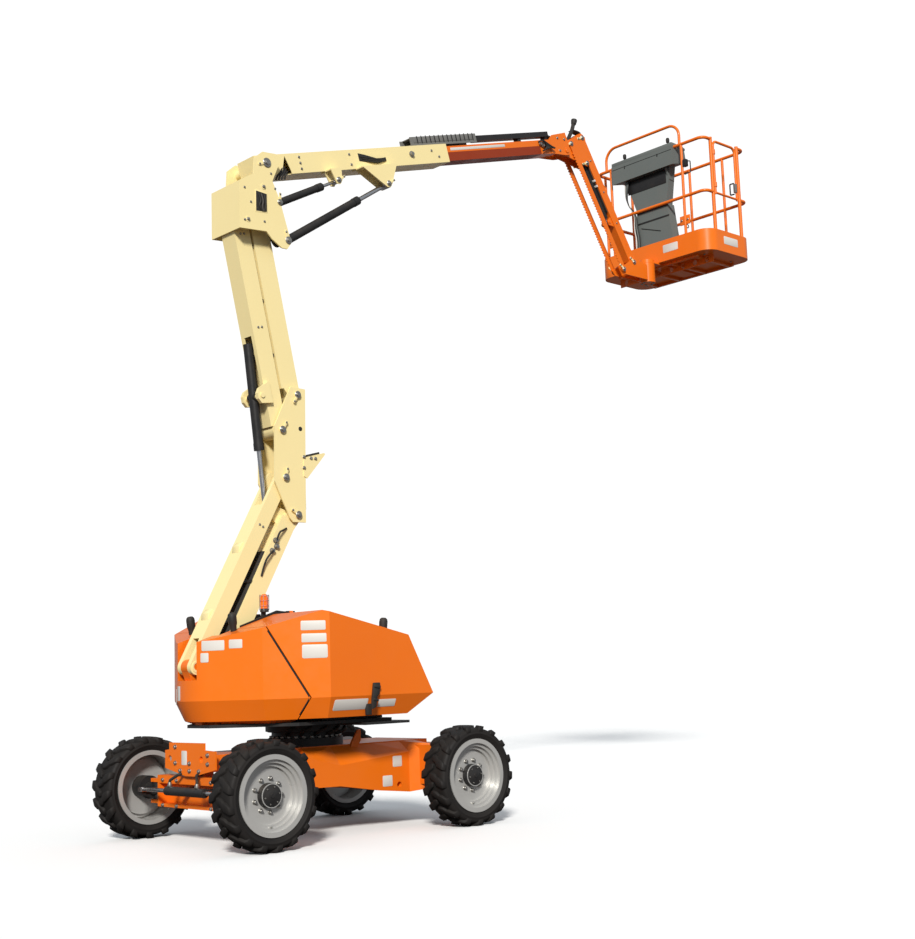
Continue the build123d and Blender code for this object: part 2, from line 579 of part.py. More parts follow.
def lower_link():
    """The lower link, with the horn that carries the lift cylinder's rod eye."""
    length = distance(T2, D)
    half_w, half_d = ARM_WIDTH / 2, LOWER_LINK_DEPTH / 2
    mid = LOWER_LINK_SHIFT
    shell = Pos(0, 0, mid) * box_tube(150, length - 60, ARM_WIDTH, LOWER_LINK_DEPTH, ARM_WALL)
    head = rod((length, -half_w, 0), (length, half_w, 0), 60)
    neck = plate(((length - 120, mid - half_d), (length + 4, -60), (length + 12, 58), (length - 120, mid + half_d)),
                 -half_w, half_w)
    tails = pair(fuse(rod((0, -half_w, 0), (0, -LUG_HALF - HINGE_GAP * 4, 0), 56),
                      plate(((-5, -56), (260, mid - half_d), (260, mid + half_d), (200, mid + half_d), (-5, 56)),
                            -half_w, -LUG_HALF - HINGE_GAP * 4)))
    location = lay(T2, bearing(T2, D))
    eye = local_point(T2, bearing(T2, D), TOWER_ROD_EYE)
    horn = plate((((length - 100), mid), (length + 20, 10), (eye[0] + 34, eye[1] + 6), (eye[0] + 10, eye[1] + 34),
                  (eye[0] - 26, eye[1] + 24), (length - 150, half_d)), -HORN_HALF, HORN_HALF)
    link = fuse(shell, head, neck, *tails, horn)
    link = link - block((eye[0] - 60, eye[0] + 100), (-EYE_HALF - HINGE_GAP, EYE_HALF + HINGE_GAP),
                        (eye[1] - EYE_POCKET, eye[1] + 100))
    for stub in pair(rod((eye[0], -HORN_HALF - 3, eye[1]), (eye[0], -HORN_HALF + 4, eye[1]), 16)):
        link = link + stub
    link = link - block((-200, 205), (-LUG_HALF - HINGE_GAP * 4, LUG_HALF + HINGE_GAP * 4), (-200, 200))
    for x in (0, length):
        link = link - rod((x, -200, 0), (x, 200, 0), BORE)
    return location * link


def local_point(origin, angle, point):
    """A side point in the local frame that lay() makes."""
    dx, dz = point[0] - origin[0], point[1] - origin[1]
    a = math.radians(angle)
    return (dx * math.cos(a) + dz * math.sin(a), dz * math.cos(a) - dx * math.sin(a))


def mid_upright():
    """Two side plates joined by a web, with the four tower pins and the boom rest."""
    half = UPRIGHT_INNER_HALF + UPRIGHT_PLATE
    outline = ((-30, 3555), (-175, 3562), (-266, 3380), (-338, 3225), (-345, 2775), (-200, 2482), (-170, 2452),
               (-44, 2452))
    plates = pair(plate(outline, -half, -UPRIGHT_INNER_HALF))
    web = block((-46, -32), (-UPRIGHT_INNER_HALF - 2, UPRIGHT_INNER_HALF + 2), (2560, 3500))
    pins = [cross_pin(point, half + 16) for point in (A, B, D)]
    stubs = pair(rod((C[0], -half - 16, C[1]), (C[0], -STUB_INNER, C[1]), PIN_RADIUS))
    spacers = [pair(rod((x, -UPRIGHT_INNER_HALF - 1, z), (x, -ARM_WIDTH / 2 - HINGE_GAP, z), PIN_RADIUS + 16))
               for x, z in (A, B, C, D)]
    rest_side = pair(plate(((-60, 2830), (-28, 2815), (100, 2960), (160, 3030), (-25, 2985), (-60, 2990)),
                           -half - 8, -half + 1))
    rest_pad = plate(((-30, 2980), (-30, 2992), (152, 3040), (152, 3028)), -half - 8, half + 8)
    return fuse(*plates, web, *pins, *stubs, *spacers, *rest_side, rest_pad)


UPPER_ARM_SHIFT = 0
UPPER_LINK_SHIFT = 30
UPPER_SLOT = (250, 790)
EAR_HALF = 122
TRUNNION_SEAT = 42


def upper_arm():
    """The tower's upper arm, slotted where the lift cylinder's barrel swings through."""
    length = distance(B, U1)
    half_w, half_d = ARM_WIDTH / 2, UPPER_ARM_DEPTH / 2
    shell = Pos(0, 0, UPPER_ARM_SHIFT) * box_tube(40, length - 40, ARM_WIDTH, UPPER_ARM_DEPTH, ARM_WALL)
    heads = [rod((x, -half_w, 0), (x, half_w, 0), 64) for x in (0, length)]
    arm = fuse(shell, *heads)
    angle = bearing(B, U1)
    px, pz = local_point(B, angle, TOWER_TRUNNION)
    ears = pair(plate(((px - 70, half_d - 40), (px - 62, pz + 14), (px - 22, pz + 40), (px + 24, pz + 40),
                       (px + 62, pz + 14), (px + 110, half_d - 40)), -EAR_HALF, -half_w + 2))
    trunnions = pair(rod((px, -EAR_HALF - 10, pz), (px, -TRUNNION_SEAT, pz), 20))
    slot = block(UPPER_SLOT, (-ARM_SLOT / 2, ARM_SLOT / 2), (-200, 200))
    arm = fuse(arm - slot, *ears, *trunnions)
    for x in (0, length):
        arm = arm - rod((x, -200, 0), (x, 200, 0), BORE)
    return lay(B, angle) * arm


def upper_link():
    """The upper link, beside the upper arm."""
    length = distance(A, U2)
    half_w = ARM_WIDTH / 2
    shell = Pos(0, 0, UPPER_LINK_SHIFT) * box_tube(70, length - 40, ARM_WIDTH, UPPER_LINK_DEPTH, ARM_WALL)
    heads = []
    for x, inside in ((0, 110), (length, length - 90)):
        heads.append(rod((x, -half_w, 0), (x, half_w, 0), 56))
        heads.append(plate(((x, -56), (inside, UPPER_LINK_SHIFT - UPPER_LINK_DEPTH / 2),
                            (inside, UPPER_LINK_SHIFT + UPPER_LINK_DEPTH / 2), (x, 56)), -half_w, half_w))
    link = fuse(shell, *heads)
    for x in (0, length):
        link = link - rod((x, -200, 0), (x, 200, 0), BORE)
    slot = block((480, 860), (-ARM_SLOT / 2, ARM_SLOT / 2), (0, 200))
    return lay(A, bearing(A, U2)) * (link - slot)


EAR_INNER = BOOM_WIDTH / 2 + 10


def tower_top():
    """The box at the tower's head, its ears around the boom and its cheeks around both cylinders."""
    outer, inner = TOP_HALF_WIDTH, TOP_HALF_WIDTH - TOP_PLATE
    side = ((-708, 4785), (-450, 4802), (-395, 4747), (-300, 4690), (-245, 4690), (-205, 4747), (-240, 4860),
            (-315, 5095), (-385, 5240), (-300, 5440), (-350, 5480), (-480, 5470), (-560, 5400), (-570, 5262), (-708, 5180))
    plates = pair(plate(side, -outer, -inner))
    back = plate(((-708, 4785), (-708, 5180), (-697, 5180), (-697, 4785)), -outer, outer)
    crown = plate(((-708, 5180), (-585, 5257), (-580, 5246), (-702, 5168)), -outer, outer)
    pins = [cross_pin(U1, outer + 3), cross_pin(U2, outer + 3), cross_pin(BOOM_PIVOT, outer + 3, 32)]
    for (x, z), radius in ((LIFT_BASE_PIN, 22), (LEVEL_BASE_PIN, 16)):
        pins.append(rod((x, -outer - 3, z), (x, CYLINDER_Y + CYLINDER_EYE + 3, z), radius))
    spacers = []
    for (x, z), gap_to in ((U1, ARM_WIDTH / 2), (U2, ARM_WIDTH / 2), (BOOM_PIVOT, BOOM_WIDTH / 2)):
        spacers += pair(rod((x, -inner - 1, z), (x, -gap_to - HINGE_GAP, z), 46))
    return fuse(*plates, back, crown, *pins, *spacers)


NODES["lower_arm"] = lower_arm()
NODES["lower_link"] = lower_link()
NODES["mid_upright"] = mid_upright()
NODES["upper_arm"] = upper_arm()
NODES["upper_link"] = upper_link()
NODES["tower_top"] = tower_top()


# Cylinders -----------------------------------------------------------------------------
GLAND_LIP = 3


def barrel(base, eye, length, radius, rod_radius, bore_start, eye_half=0, pin_radius=0, behind=0):
    """A cylinder barrel from its base pin towards the rod's eye."""
    body = rod((-behind, 0, 0), (length, 0, 0), radius)
    gland = rod((length - 46, 0, 0), (length + 14, 0, 0), radius + GLAND_LIP)
    whole = fuse(body, gland)
    if not behind:
        whole = fuse(whole, rod((0, -eye_half, 0), (0, eye_half, 0), radius + 4))
        whole = whole - rod((0, -200, 0), (0, 200, 0), pin_radius + HINGE_GAP)
    whole = whole - rod((bore_start, 0, 0), (length + 20, 0, 0), rod_radius + HINGE_GAP)
    return lay(base, bearing(base, eye)) * whole


def piston_rod(base, eye, start, radius, eye_half, eye_radius, pin_radius):
    """A piston rod from inside its barrel to the eye at its end."""
    length = distance(base, eye)
    bar = rod((start, 0, 0), (length, 0, 0), radius)
    knuckle_eye = rod((length, -eye_half, 0), (length, eye_half, 0), eye_radius)
    whole = fuse(bar, knuckle_eye) - rod((length, -200, 0), (length, 200, 0), pin_radius + HINGE_GAP)
    return lay(base, bearing(base, eye)) * whole


trunnion_boss = cross_pin((0, 0), ARM_SLOT / 2 - 2, 34)
trunnion_seats = pair(rod((0, -ARM_SLOT, 0), (0, HINGE_GAP - TRUNNION_SEAT, 0), 20 + HINGE_GAP))
tower_barrel = barrel(TOWER_TRUNNION, TOWER_ROD_EYE, 418, TOWER_CYLINDER_RADIUS, 22, -290, behind=436)
tower_barrel = tower_barrel + lay(TOWER_TRUNNION, bearing(TOWER_TRUNNION, TOWER_ROD_EYE)) * (
    trunnion_boss - trunnion_seats[0] - trunnion_seats[1] - rod((-50, 0, 0), (50, 0, 0), TOWER_CYLINDER_RADIUS - 4))
NODES["tower_cylinder"] = tower_barrel
NODES["tower_rod"] = piston_rod(TOWER_TRUNNION, TOWER_ROD_EYE, 100, 22, EYE_HALF - 2, 30, 14)
beside = Pos(0, CYLINDER_Y, 0)
NODES["boom_cylinder"] = beside * barrel(LIFT_BASE_PIN, LIFT_ROD_PIN, 930, 36, 20, 60, CYLINDER_EYE, 22)
NODES["boom_rod"] = beside * piston_rod(LIFT_BASE_PIN, LIFT_ROD_PIN, 325, 20, CYLINDER_EYE, 38, 20)
NODES["level_cylinder"] = beside * barrel(LEVEL_BASE_PIN, LEVEL_ROD_PIN, 522, 32, 14, 44, LEVEL_EYE, 16)
NODES["level_rod"] = beside * piston_rod(LEVEL_BASE_PIN, LEVEL_ROD_PIN, 190, 14, LEVEL_EYE - 4, 26, 14)

# Main boom -----------------------------------------------------------------------------
BOOM_NOSE = toward(BOOM_PIVOT, BOOM_ANGLE, BOOM_LENGTH)
HEAD_PIVOT = toward(BOOM_PIVOT, BOOM_ANGLE, FLY_REACH + HEAD_OFFSET[0], HEAD_OFFSET[1])
EAR_REACH = 19
FLY_AXIS_SHIFT = 0


def base_boom():
    """The base section: a square tube with its cylinder brackets and the opening at its heel."""
    half_w, half_d = BOOM_WIDTH / 2, BOOM_DEPTH / 2
    shell = box_tube(-48, BOOM_LENGTH, BOOM_WIDTH, BOOM_DEPTH, BOOM_WALL)
    heel = block((-48, -42), (-half_w, half_w), (-half_d, half_d))
    hub = rod((0, -half_w, 0), (0, half_w, 0), 44)
    window = plate(((190, -half_d - 20), (310, -half_d - 20), (305, -60), (270, 70)), -half_w - 5, -half_w + 20)
    lift = local_point(BOOM_PIVOT, BOOM_ANGLE, LIFT_ROD_PIN)
    level = local_point(BOOM_PIVOT, BOOM_ANGLE, LEVEL_ROD_PIN)
    ears = []
    for (x, z), eye, ahead, behind in ((lift, CYLINDER_EYE, 150, 260), (level, LEVEL_EYE, 60, 60)):
        reach = (CYLINDER_Y - eye - EAR_REACH, CYLINDER_Y + eye + EAR_REACH)
        outline = ((x - behind, -half_d + 1), (x + ahead, -half_d + 1), (x + 38, z - 8), (x + 10, z - 36),
                   (x - 26, z - 30))
        for y0, y1 in ((reach[0], reach[0] + 11), (reach[1] - 11, reach[1])):
            ears.append(plate(outline, y0, y1))
            ears.append(rod((x, y0 - 4, z), (x, y1 + 4, z), 24))
        ears.append(block((x - behind, x + ahead), (reach[0], -half_w + 60), (-half_d - 8, -half_d + 2)))
    pads = []
    for side in (-1, 1):
        reach = sorted((side * (FLY_DEPTH / 2 + HINGE_GAP), side * (half_d - BOOM_WALL + 1)))
        pads.append(block((BOOM_LENGTH - 90, BOOM_LENGTH - 4), (-60, 60), reach))
        reach = sorted((side * (FLY_WIDTH / 2 + HINGE_GAP), side * (half_w - BOOM_WALL + 1)))
        pads.append(block((BOOM_LENGTH - 90, BOOM_LENGTH - 4), reach, (-40, 40)))
    boom = fuse(shell, heel, hub, *ears, *pads) - window
    boom = boom - rod((0, -300, 0), (0, 300, 0), 32 + HINGE_GAP)
    return lay(BOOM_PIVOT, BOOM_ANGLE) * boom


def fly_boom():
    """The telescoping section, with the cheeks that carry the levelled head."""
    half_w, half_d = FLY_WIDTH / 2, FLY_DEPTH / 2
    start = BOOM_LENGTH - FLY_OVERLAP
    tube = box_tube(start, FLY_REACH, FLY_WIDTH, FLY_DEPTH, FLY_WALL)
    inner, outer = JIB_LAYERS[2]
    head = local_point(BOOM_PIVOT, BOOM_ANGLE, HEAD_PIVOT)
    cheeks = pair(plate(((FLY_REACH - 190, -half_d), (head[0] - 30, head[1] - 46), (head[0] + 34, head[1] - 44),
                         (head[0] + 52, head[1] + 60), (head[0] + 30, half_d + 60), (FLY_REACH - 130, half_d + 44),
                         (FLY_REACH - 190, half_d)), -outer, -inner))
    pin = rod((head[0], -outer - 8, head[1]), (head[0], outer + 8, head[1]), 24)
    notch = block((head[0] - 130, FLY_REACH + 1), (FLY_WALL - half_w, half_w - FLY_WALL), (-100, 100))
    return lay(BOOM_PIVOT, BOOM_ANGLE) * fuse(tube - notch, *cheeks, pin)


NODES["base_boom"] = base_boom()
NODES["fly_boom"] = fly_boom()
CHANNEL_X = (1760, 2620)
NODES["cable_channel"] = lay(BOOM_PIVOT, BOOM_ANGLE) * fuse(
    block((CHANNEL_X[0], BOOM_LENGTH - 20), (-100, 40), (BOOM_DEPTH / 2, BOOM_DEPTH / 2 + 14)),
    block((CHANNEL_X[0], CHANNEL_X[1]), (-104, -96), (BOOM_DEPTH / 2, BOOM_DEPTH / 2 + 84)),
    block((CHANNEL_X[0], CHANNEL_X[1]), (34, 42), (BOOM_DEPTH / 2, BOOM_DEPTH / 2 + 84)),
    block((CHANNEL_X[0] + 30, CHANNEL_X[1]), (-97, 35), (BOOM_DEPTH / 2 + 76, BOOM_DEPTH / 2 + 84)))
TRAY_LOW = FLY_DEPTH / 2 + 6
NODES["hose_tray"] = lay(BOOM_PIVOT, BOOM_ANGLE) * fuse(
    block((2650, FLY_REACH - 160), (-70, 10), (BOOM_DEPTH / 2 + 22, BOOM_DEPTH / 2 + 72)),
    *[block((x, x + 40), (-60, 0), (FLY_DEPTH / 2, BOOM_DEPTH / 2 + 24)) for x in (FLY_REACH - 610, FLY_REACH - 210)])

# Jib -----------------------------------------------------------------------------------
JIB_PIVOT = (HEAD_PIVOT[0] + JIB_RISE[0], HEAD_PIVOT[1] + JIB_RISE[1])
JIB_LOW = (JIB_PIVOT[0] + JIB_LINK_OFFSET[0], JIB_PIVOT[1] + JIB_LINK_OFFSET[1])
JIB_END = toward(JIB_PIVOT, JIB_ANGLE, JIB_LENGTH)
JIB_END_LOW = (JIB_END[0] + JIB_LINK_OFFSET[0], JIB_END[1] + JIB_LINK_OFFSET[1])
JIB_RAM_BASE = (JIB_PIVOT[0] + 61, JIB_PIVOT[1] - 258)
JIB_RAM_EYE = toward(JIB_PIVOT, JIB_ANGLE, 900, -88)
JIB_PIN = 18


def jib_base():
    """The levelled head between the fly's end and the jib's bars."""
    inner, outer = JIB_LAYERS[1]
    cheek = plate((toward(HEAD_PIVOT, 190, 40), toward(JIB_LOW, 130, 46), toward(JIB_PIVOT, 120, 46),
                   toward(JIB_PIVOT, 20, 46), toward(JIB_RAM_BASE, 0, 34), toward(JIB_RAM_BASE, -90, 34),
                   toward(HEAD_PIVOT, -80, 42)), -outer, -inner)
    pins = [cross_pin(point, outer + 1, JIB_PIN) for point in (JIB_PIVOT, JIB_RAM_BASE)]
    pins.append(cross_pin(JIB_LOW, JIB_LAYERS[0][1] + 1, JIB_PIN))
    tie = cross_pin((HEAD_PIVOT[0] + 60, HEAD_PIVOT[1] - 10), inner + 2, 14)
    whole = fuse(*pair(cheek), *pins, tie)
    return whole - cross_pin(HEAD_PIVOT, 200, 24 + HINGE_GAP)


def jib_tube():
    half_w, half_d = JIB_TUBE_WIDTH / 2, JIB_TUBE_DEPTH / 2
    eye = local_point(JIB_PIVOT, JIB_ANGLE, JIB_RAM_EYE)
    shell = box_tube(-20, JIB_LENGTH - 30, JIB_TUBE_WIDTH, JIB_TUBE_DEPTH, 6)
    heads = [rod((0, -half_w, 0), (0, half_w, 0), half_d), rod((JIB_LENGTH, -half_w, 0), (JIB_LENGTH, half_w, 0), 38)]
    heads.append(block((JIB_LENGTH - 60, JIB_LENGTH), (-half_w, half_w), (-36, 36)))
    ears = pair(plate(((eye[0] - 38, -half_d + 2), (eye[0] + 70, -half_d + 2), (eye[0] + 26, eye[1] - 24),
                       (eye[0] - 26, eye[1] - 24)), -36, -27))
    pin = pair(rod((eye[0], -42, eye[1]), (eye[0], -26, eye[1]), 16))
    tube = fuse(shell, *heads, *ears, *pin)
    for x in (0, JIB_LENGTH):
        tube = tube - rod((x, -200, 0), (x, 200, 0), JIB_PIN + HINGE_GAP)
    return lay(JIB_PIVOT, JIB_ANGLE) * tube


def jib_link():
    """The near bar of the pair that runs beside and below the jib tube."""
    inner, outer = JIB_LAYERS[0]
    bar = block((0, JIB_LENGTH), (-outer, -inner), (-28, 28))
    link = fuse(bar, *[rod((x, -outer, 0), (x, -inner, 0), 30) for x in (0, JIB_LENGTH)])
    for x in (0, JIB_LENGTH):
        link = link - rod((x, -200, 0), (x, 200, 0), JIB_PIN + HINGE_GAP)
    return lay(JIB_LOW, JIB_ANGLE) * link


NODES["jib_base"] = jib_base()
NODES["jib_tube"] = jib_tube()
near_link = jib_link()
NODES["jib_link_near"] = near_link
NODES["jib_link_far"] = mirror(near_link, about=Plane.XZ)
NODES["jib_cylinder"] = barrel(JIB_RAM_BASE, JIB_RAM_EYE, 592, 24, 13, 40, 38, JIB_PIN)
NODES["jib_rod"] = piston_rod(JIB_RAM_BASE, JIB_RAM_EYE, 50, 13, 22, 22, 12)

# Platform ------------------------------------------------------------------------------
PLATFORM_X = round(JIB_END[0] + PLATFORM_AHEAD)
PLATFORM_FLOOR = round(JIB_END[1] + PLATFORM_ABOVE)
ROTATOR = (PLATFORM_X - 100, JIB_END_LOW[1] + 20)
FLOOR_LOW = PLATFORM_FLOOR - 40
HANGER = 18
SPIGOT_RADIUS = 30
SPIGOT_REACH = 90


def platform_support():
    """The cheeks at the jib's end, with the rotator housing they carry."""
    inner, outer = JIB_LAYERS[1]
    cheeks = pair(plate((toward(JIB_END, 140, 44), toward(JIB_END, 80, 44), (ROTATOR[0] - 70, JIB_END[1] + 8),
                         (ROTATOR[0] - 70, JIB_END_LOW[1] - 44), toward(JIB_END_LOW, -90, 44), toward(JIB_END_LOW, 180, 44)),
                        -outer, -inner))
    pins = [cross_pin(JIB_END, outer + 1, JIB_PIN)]
    pins += pair(rod((JIB_END_LOW[0], -JIB_LAYERS[0][1] - 1, JIB_END_LOW[1]), (JIB_END_LOW[0], -inner, JIB_END_LOW[1]),
                     JIB_PIN))
    web = block((ROTATOR[0] - 110, ROTATOR[0]), (-inner - 2, inner + 2), (JIB_END_LOW[1] - 44, JIB_END_LOW[1] - 34))
    housing = rod((ROTATOR[0], 0, JIB_END_LOW[1] - 60), (ROTATOR[0], 0, FLOOR_LOW - HANGER - 2), 82)
    seat = rod((ROTATOR[0], 0, FLOOR_LOW - SPIGOT_REACH - 2), (ROTATOR[0], 0, FLOOR_LOW), SPIGOT_RADIUS + HINGE_GAP)
    return fuse(*cheeks, *pins, web, housing) - seat


NODES["platform_support"] = platform_support()

PX0, PX1 = PLATFORM_X, PLATFORM_X + PLATFORM_DEPTH
PY = PLATFORM_LENGTH / 2
FLOOR_CORNER = 150
TREAD_START = 165
TREAD_INSET = 46
TREAD_THICKNESS = 7


def rounded_floor(inset, z0, z1):
    face = RectangleRounded(PLATFORM_DEPTH - 2 * inset, PLATFORM_LENGTH - 2 * inset, FLOOR_CORNER - inset)
    return Pos((PX0 + PX1) / 2, 0, z0) * extrude(face, z1 - z0)


def platform_floor():
    """The floor pan, its toe board, and the perforated bar below it."""
    pan = rounded_floor(0, FLOOR_LOW, PLATFORM_FLOOR)
    toe = rounded_floor(0, FLOOR_LOW, PLATFORM_FLOOR + TOE_BOARD) - rounded_floor(4, PLATFORM_FLOOR - 4, 9000)
    bar = block((PX0 + 210, PX0 + 222), (-640, 640), (FLOOR_LOW - 80, FLOOR_LOW + 2))
    for n in range(8):
        y = -560 + n * 160
        bar = bar - rod((PX0 + 200, y, FLOOR_LOW - 40), (PX0 + 240, y, FLOOR_LOW - 40), 28)
    bar = bar - block((PX0 + 200, PX0 + 232), (-81, 81), (FLOOR_LOW - HANGER, FLOOR_LOW + 1))
    size = (PLATFORM_DEPTH - TREAD_START - TREAD_INSET, PLATFORM_LENGTH - 2 * TREAD_INSET)
    tread = extrude(RectangleRounded(*size, FLOOR_CORNER - TREAD_INSET), TREAD_THICKNESS)
    tread = Pos(PX0 + TREAD_START + size[0] / 2, 0, PLATFORM_FLOOR - 1) * tread
    return fuse(pan, toe, bar, tread)


def platform_bracket():
    """The beam under the floor, with the spigot that turns in the rotator's housing."""
    beam = block((ROTATOR[0], PX1 - 120), (-80, 80), (FLOOR_LOW - HANGER, FLOOR_LOW))
    hub = rod((ROTATOR[0], 0, FLOOR_LOW - HANGER), (ROTATOR[0], 0, FLOOR_LOW + 20), 80)
    spigot = rod((ROTATOR[0], 0, FLOOR_LOW - SPIGOT_REACH), (ROTATOR[0], 0, FLOOR_LOW), SPIGOT_RADIUS)
    return fuse(beam, hub, spigot)


NODES["platform_floor"] = platform_floor()
NODES["platform_bracket"] = platform_bracket()
RAIL_TOP = PLATFORM_FLOOR + RAIL_HEIGHT
MID_RAIL = PLATFORM_FLOOR + MID_RAIL_HEIGHT
INSET = RAIL_RADIUS + 6
RX0, RX1, RY = PX0 + INSET, PX1 - INSET, PY - INSET
GATE_X = (RX0 + 130, RX1 - 130)
ARCH_TOP = RAIL_TOP + ARCH_RISE
CONSOLE_SPAN = (-360, 490)
CONSOLE_LOW = RAIL_TOP - 200


def pipe(points, radius=RAIL_RADIUS, bend=0):
    """A round tube along a path with arcs of one radius at its corners."""
    path = Wire(FilletPolyline(*points, radius=bend).edges())
    return sweep(Plane(origin=path @ 0, z_dir=path % 0) * Circle(radius), path=path)


GATE_TUBE = RAIL_RADIUS - 3
GATE_SPAN = (GATE_X[0] + RAIL_RADIUS + GATE_TUBE + 8, GATE_X[1] - RAIL_RADIUS - GATE_TUBE - 8)
GATE_TOP = RAIL_TOP - 10


def gate():
    """The swing gate on the near end: a hoop over the mid rail's height."""
    x0, x1 = GATE_SPAN
    foot = MID_RAIL - GATE_TUBE - 2
    hoop = pipe(((x0, -RY, foot), (x0, -RY, GATE_TOP), (x1, -RY, GATE_TOP), (x1, -RY, foot)), GATE_TUBE, 60)
    return fuse(hoop, rod((x0, -RY, MID_RAIL), (x1, -RY, MID_RAIL), GATE_TUBE - 2))


def rails():
    """The guard rails, with a gap for the gate on the near end and the arch by the console."""
    posts = [(RX0, -450), (RX0, CONSOLE_SPAN[1] + 50), (RX1, -450), (RX1, 450), (RX1, 0), (GATE_X[0], RY), (GATE_X[1], RY)]
    loops = []
    for z in (RAIL_TOP, MID_RAIL):
        loops.append(pipe(((GATE_X[0], -RY, z), (RX0, -RY, z), (RX0, RY, z), (RX1, RY, z), (RX1, -RY, z),
                           (GATE_X[1], -RY, z)), bend=70))
    arch = pipe(((RX0, -430, RAIL_TOP + 3), (RX0, -430, ARCH_TOP), (RX0, 600, ARCH_TOP), (RX0, 600, RAIL_TOP + 3)),
                RAIL_RADIUS - 2, bend=140)
    frame = [rod((x, y, PLATFORM_FLOOR), (x, y, RAIL_TOP - 3), RAIL_RADIUS - 2) for x, y in posts]
    frame += [rod((x, -RY, PLATFORM_FLOOR), (x, -RY, RAIL_TOP + 20), RAIL_RADIUS + 2) for x in GATE_X]
    sleeve = rod((0, 0, 0), (0, 0, 50), GATE_TUBE + 7) - rod((0, 0, -1), (0, 0, 51), GATE_TUBE + HINGE_GAP)
    link = block((GATE_X[0] - GATE_SPAN[0], -GATE_TUBE - 4), (-6, 6), (5, 45))
    hinge = Pos(GATE_SPAN[0], -RY, 0) * fuse(sleeve, link)
    frame = fuse(*loops, *frame, arch)
    return fuse(frame, *[Pos(0, 0, z) * hinge for z in (MID_RAIL + 60, GATE_TOP - 150)])


NODES["platform_rails"] = rails()
NODES["platform_gate"] = gate()


def console():
    """The lidded control box that wraps the front rail, on a waisted pedestal inside it."""
    x0 = RX0 + RAIL_RADIUS + 3
    box = convex(*[(x, y, z) for y in CONSOLE_SPAN for x, z in
                   ((PX0 - 25, CONSOLE_LOW), (PX0 - 25, RAIL_TOP + 5), (x0 + 150, RAIL_TOP - 10), (x0 + 170, RAIL_TOP - 140))])
    box = box - block((RX0 - 20, RX0 + 20), (-1000, 1000), (RAIL_TOP - 20, RAIL_TOP + 50))
    leg = convex(*[(x, y, z) for x in (x0, x0 + 100) for y, z in
                   ((-270, RAIL_TOP - 130), (370, RAIL_TOP - 130), (-200, MID_RAIL), (210, MID_RAIL))])
    base = convex(*[(x, y, z) for x in (x0, x0 + 120) for y, z in
                    ((-205, MID_RAIL), (215, MID_RAIL), (-280, PLATFORM_FLOOR), (230, PLATFORM_FLOOR))])
    return fuse(box, leg, base)


NODES["control_console"] = console()

for name, shape in NODES.items():
    export_step(shape, f"parts/{name}.step")
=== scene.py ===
"""Looks of the articulating boom lift: paint, tyres, fasteners, hoses, controls and the studio."""
import json
from math import atan2, cos, pi, radians, sin, sqrt

import bmesh
import bpy
from mathutils import Matrix, Vector
from mathutils.bvhtree import BVHTree


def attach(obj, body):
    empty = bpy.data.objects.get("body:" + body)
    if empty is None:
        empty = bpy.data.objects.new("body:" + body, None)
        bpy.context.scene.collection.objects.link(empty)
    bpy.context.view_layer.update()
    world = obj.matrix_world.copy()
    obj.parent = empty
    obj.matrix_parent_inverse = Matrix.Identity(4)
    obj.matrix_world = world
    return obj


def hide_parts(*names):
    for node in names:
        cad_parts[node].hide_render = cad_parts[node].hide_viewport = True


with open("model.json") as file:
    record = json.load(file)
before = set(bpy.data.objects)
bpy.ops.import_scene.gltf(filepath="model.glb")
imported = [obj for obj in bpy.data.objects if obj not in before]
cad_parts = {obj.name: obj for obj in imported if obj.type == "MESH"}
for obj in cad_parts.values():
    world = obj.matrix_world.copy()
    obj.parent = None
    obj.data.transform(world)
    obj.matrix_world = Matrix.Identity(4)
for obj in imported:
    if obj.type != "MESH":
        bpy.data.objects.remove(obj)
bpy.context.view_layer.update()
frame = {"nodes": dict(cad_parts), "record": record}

scene = bpy.context.scene
show = scene.collection.objects.link

# Surface effects ----------------
# One node group gives every finish its varying masks: broad tone, fine grain, dust that settles on
# upward faces, and the normal of a fine texture. Lengths in metres, so scales are per metre.


def add(tree, kind, values=None, **settings):
    """A node with its properties set, and its inputs set by name."""
    node = tree.nodes.new(kind)
    for name, value in settings.items():
        setattr(node, name, value)
    for name, value in (values or {}).items():
        node.inputs[name].default_value = value
    return node


def join(tree, *rows):
    """Links between nodes, from rows of (node, output, node, input)."""
    for source, output, target, socket in rows:
        tree.links.new(source.outputs[output], target.inputs[socket])


def declare(group, way, sockets):
    """A group's inputs or outputs, from a table of names, kinds and first values."""
    for name, (kind, value) in sockets.items():
        socket = group.interface.new_socket(name, in_out=way, socket_type="NodeSocket" + kind)
        if value is not None:
            socket.default_value = value


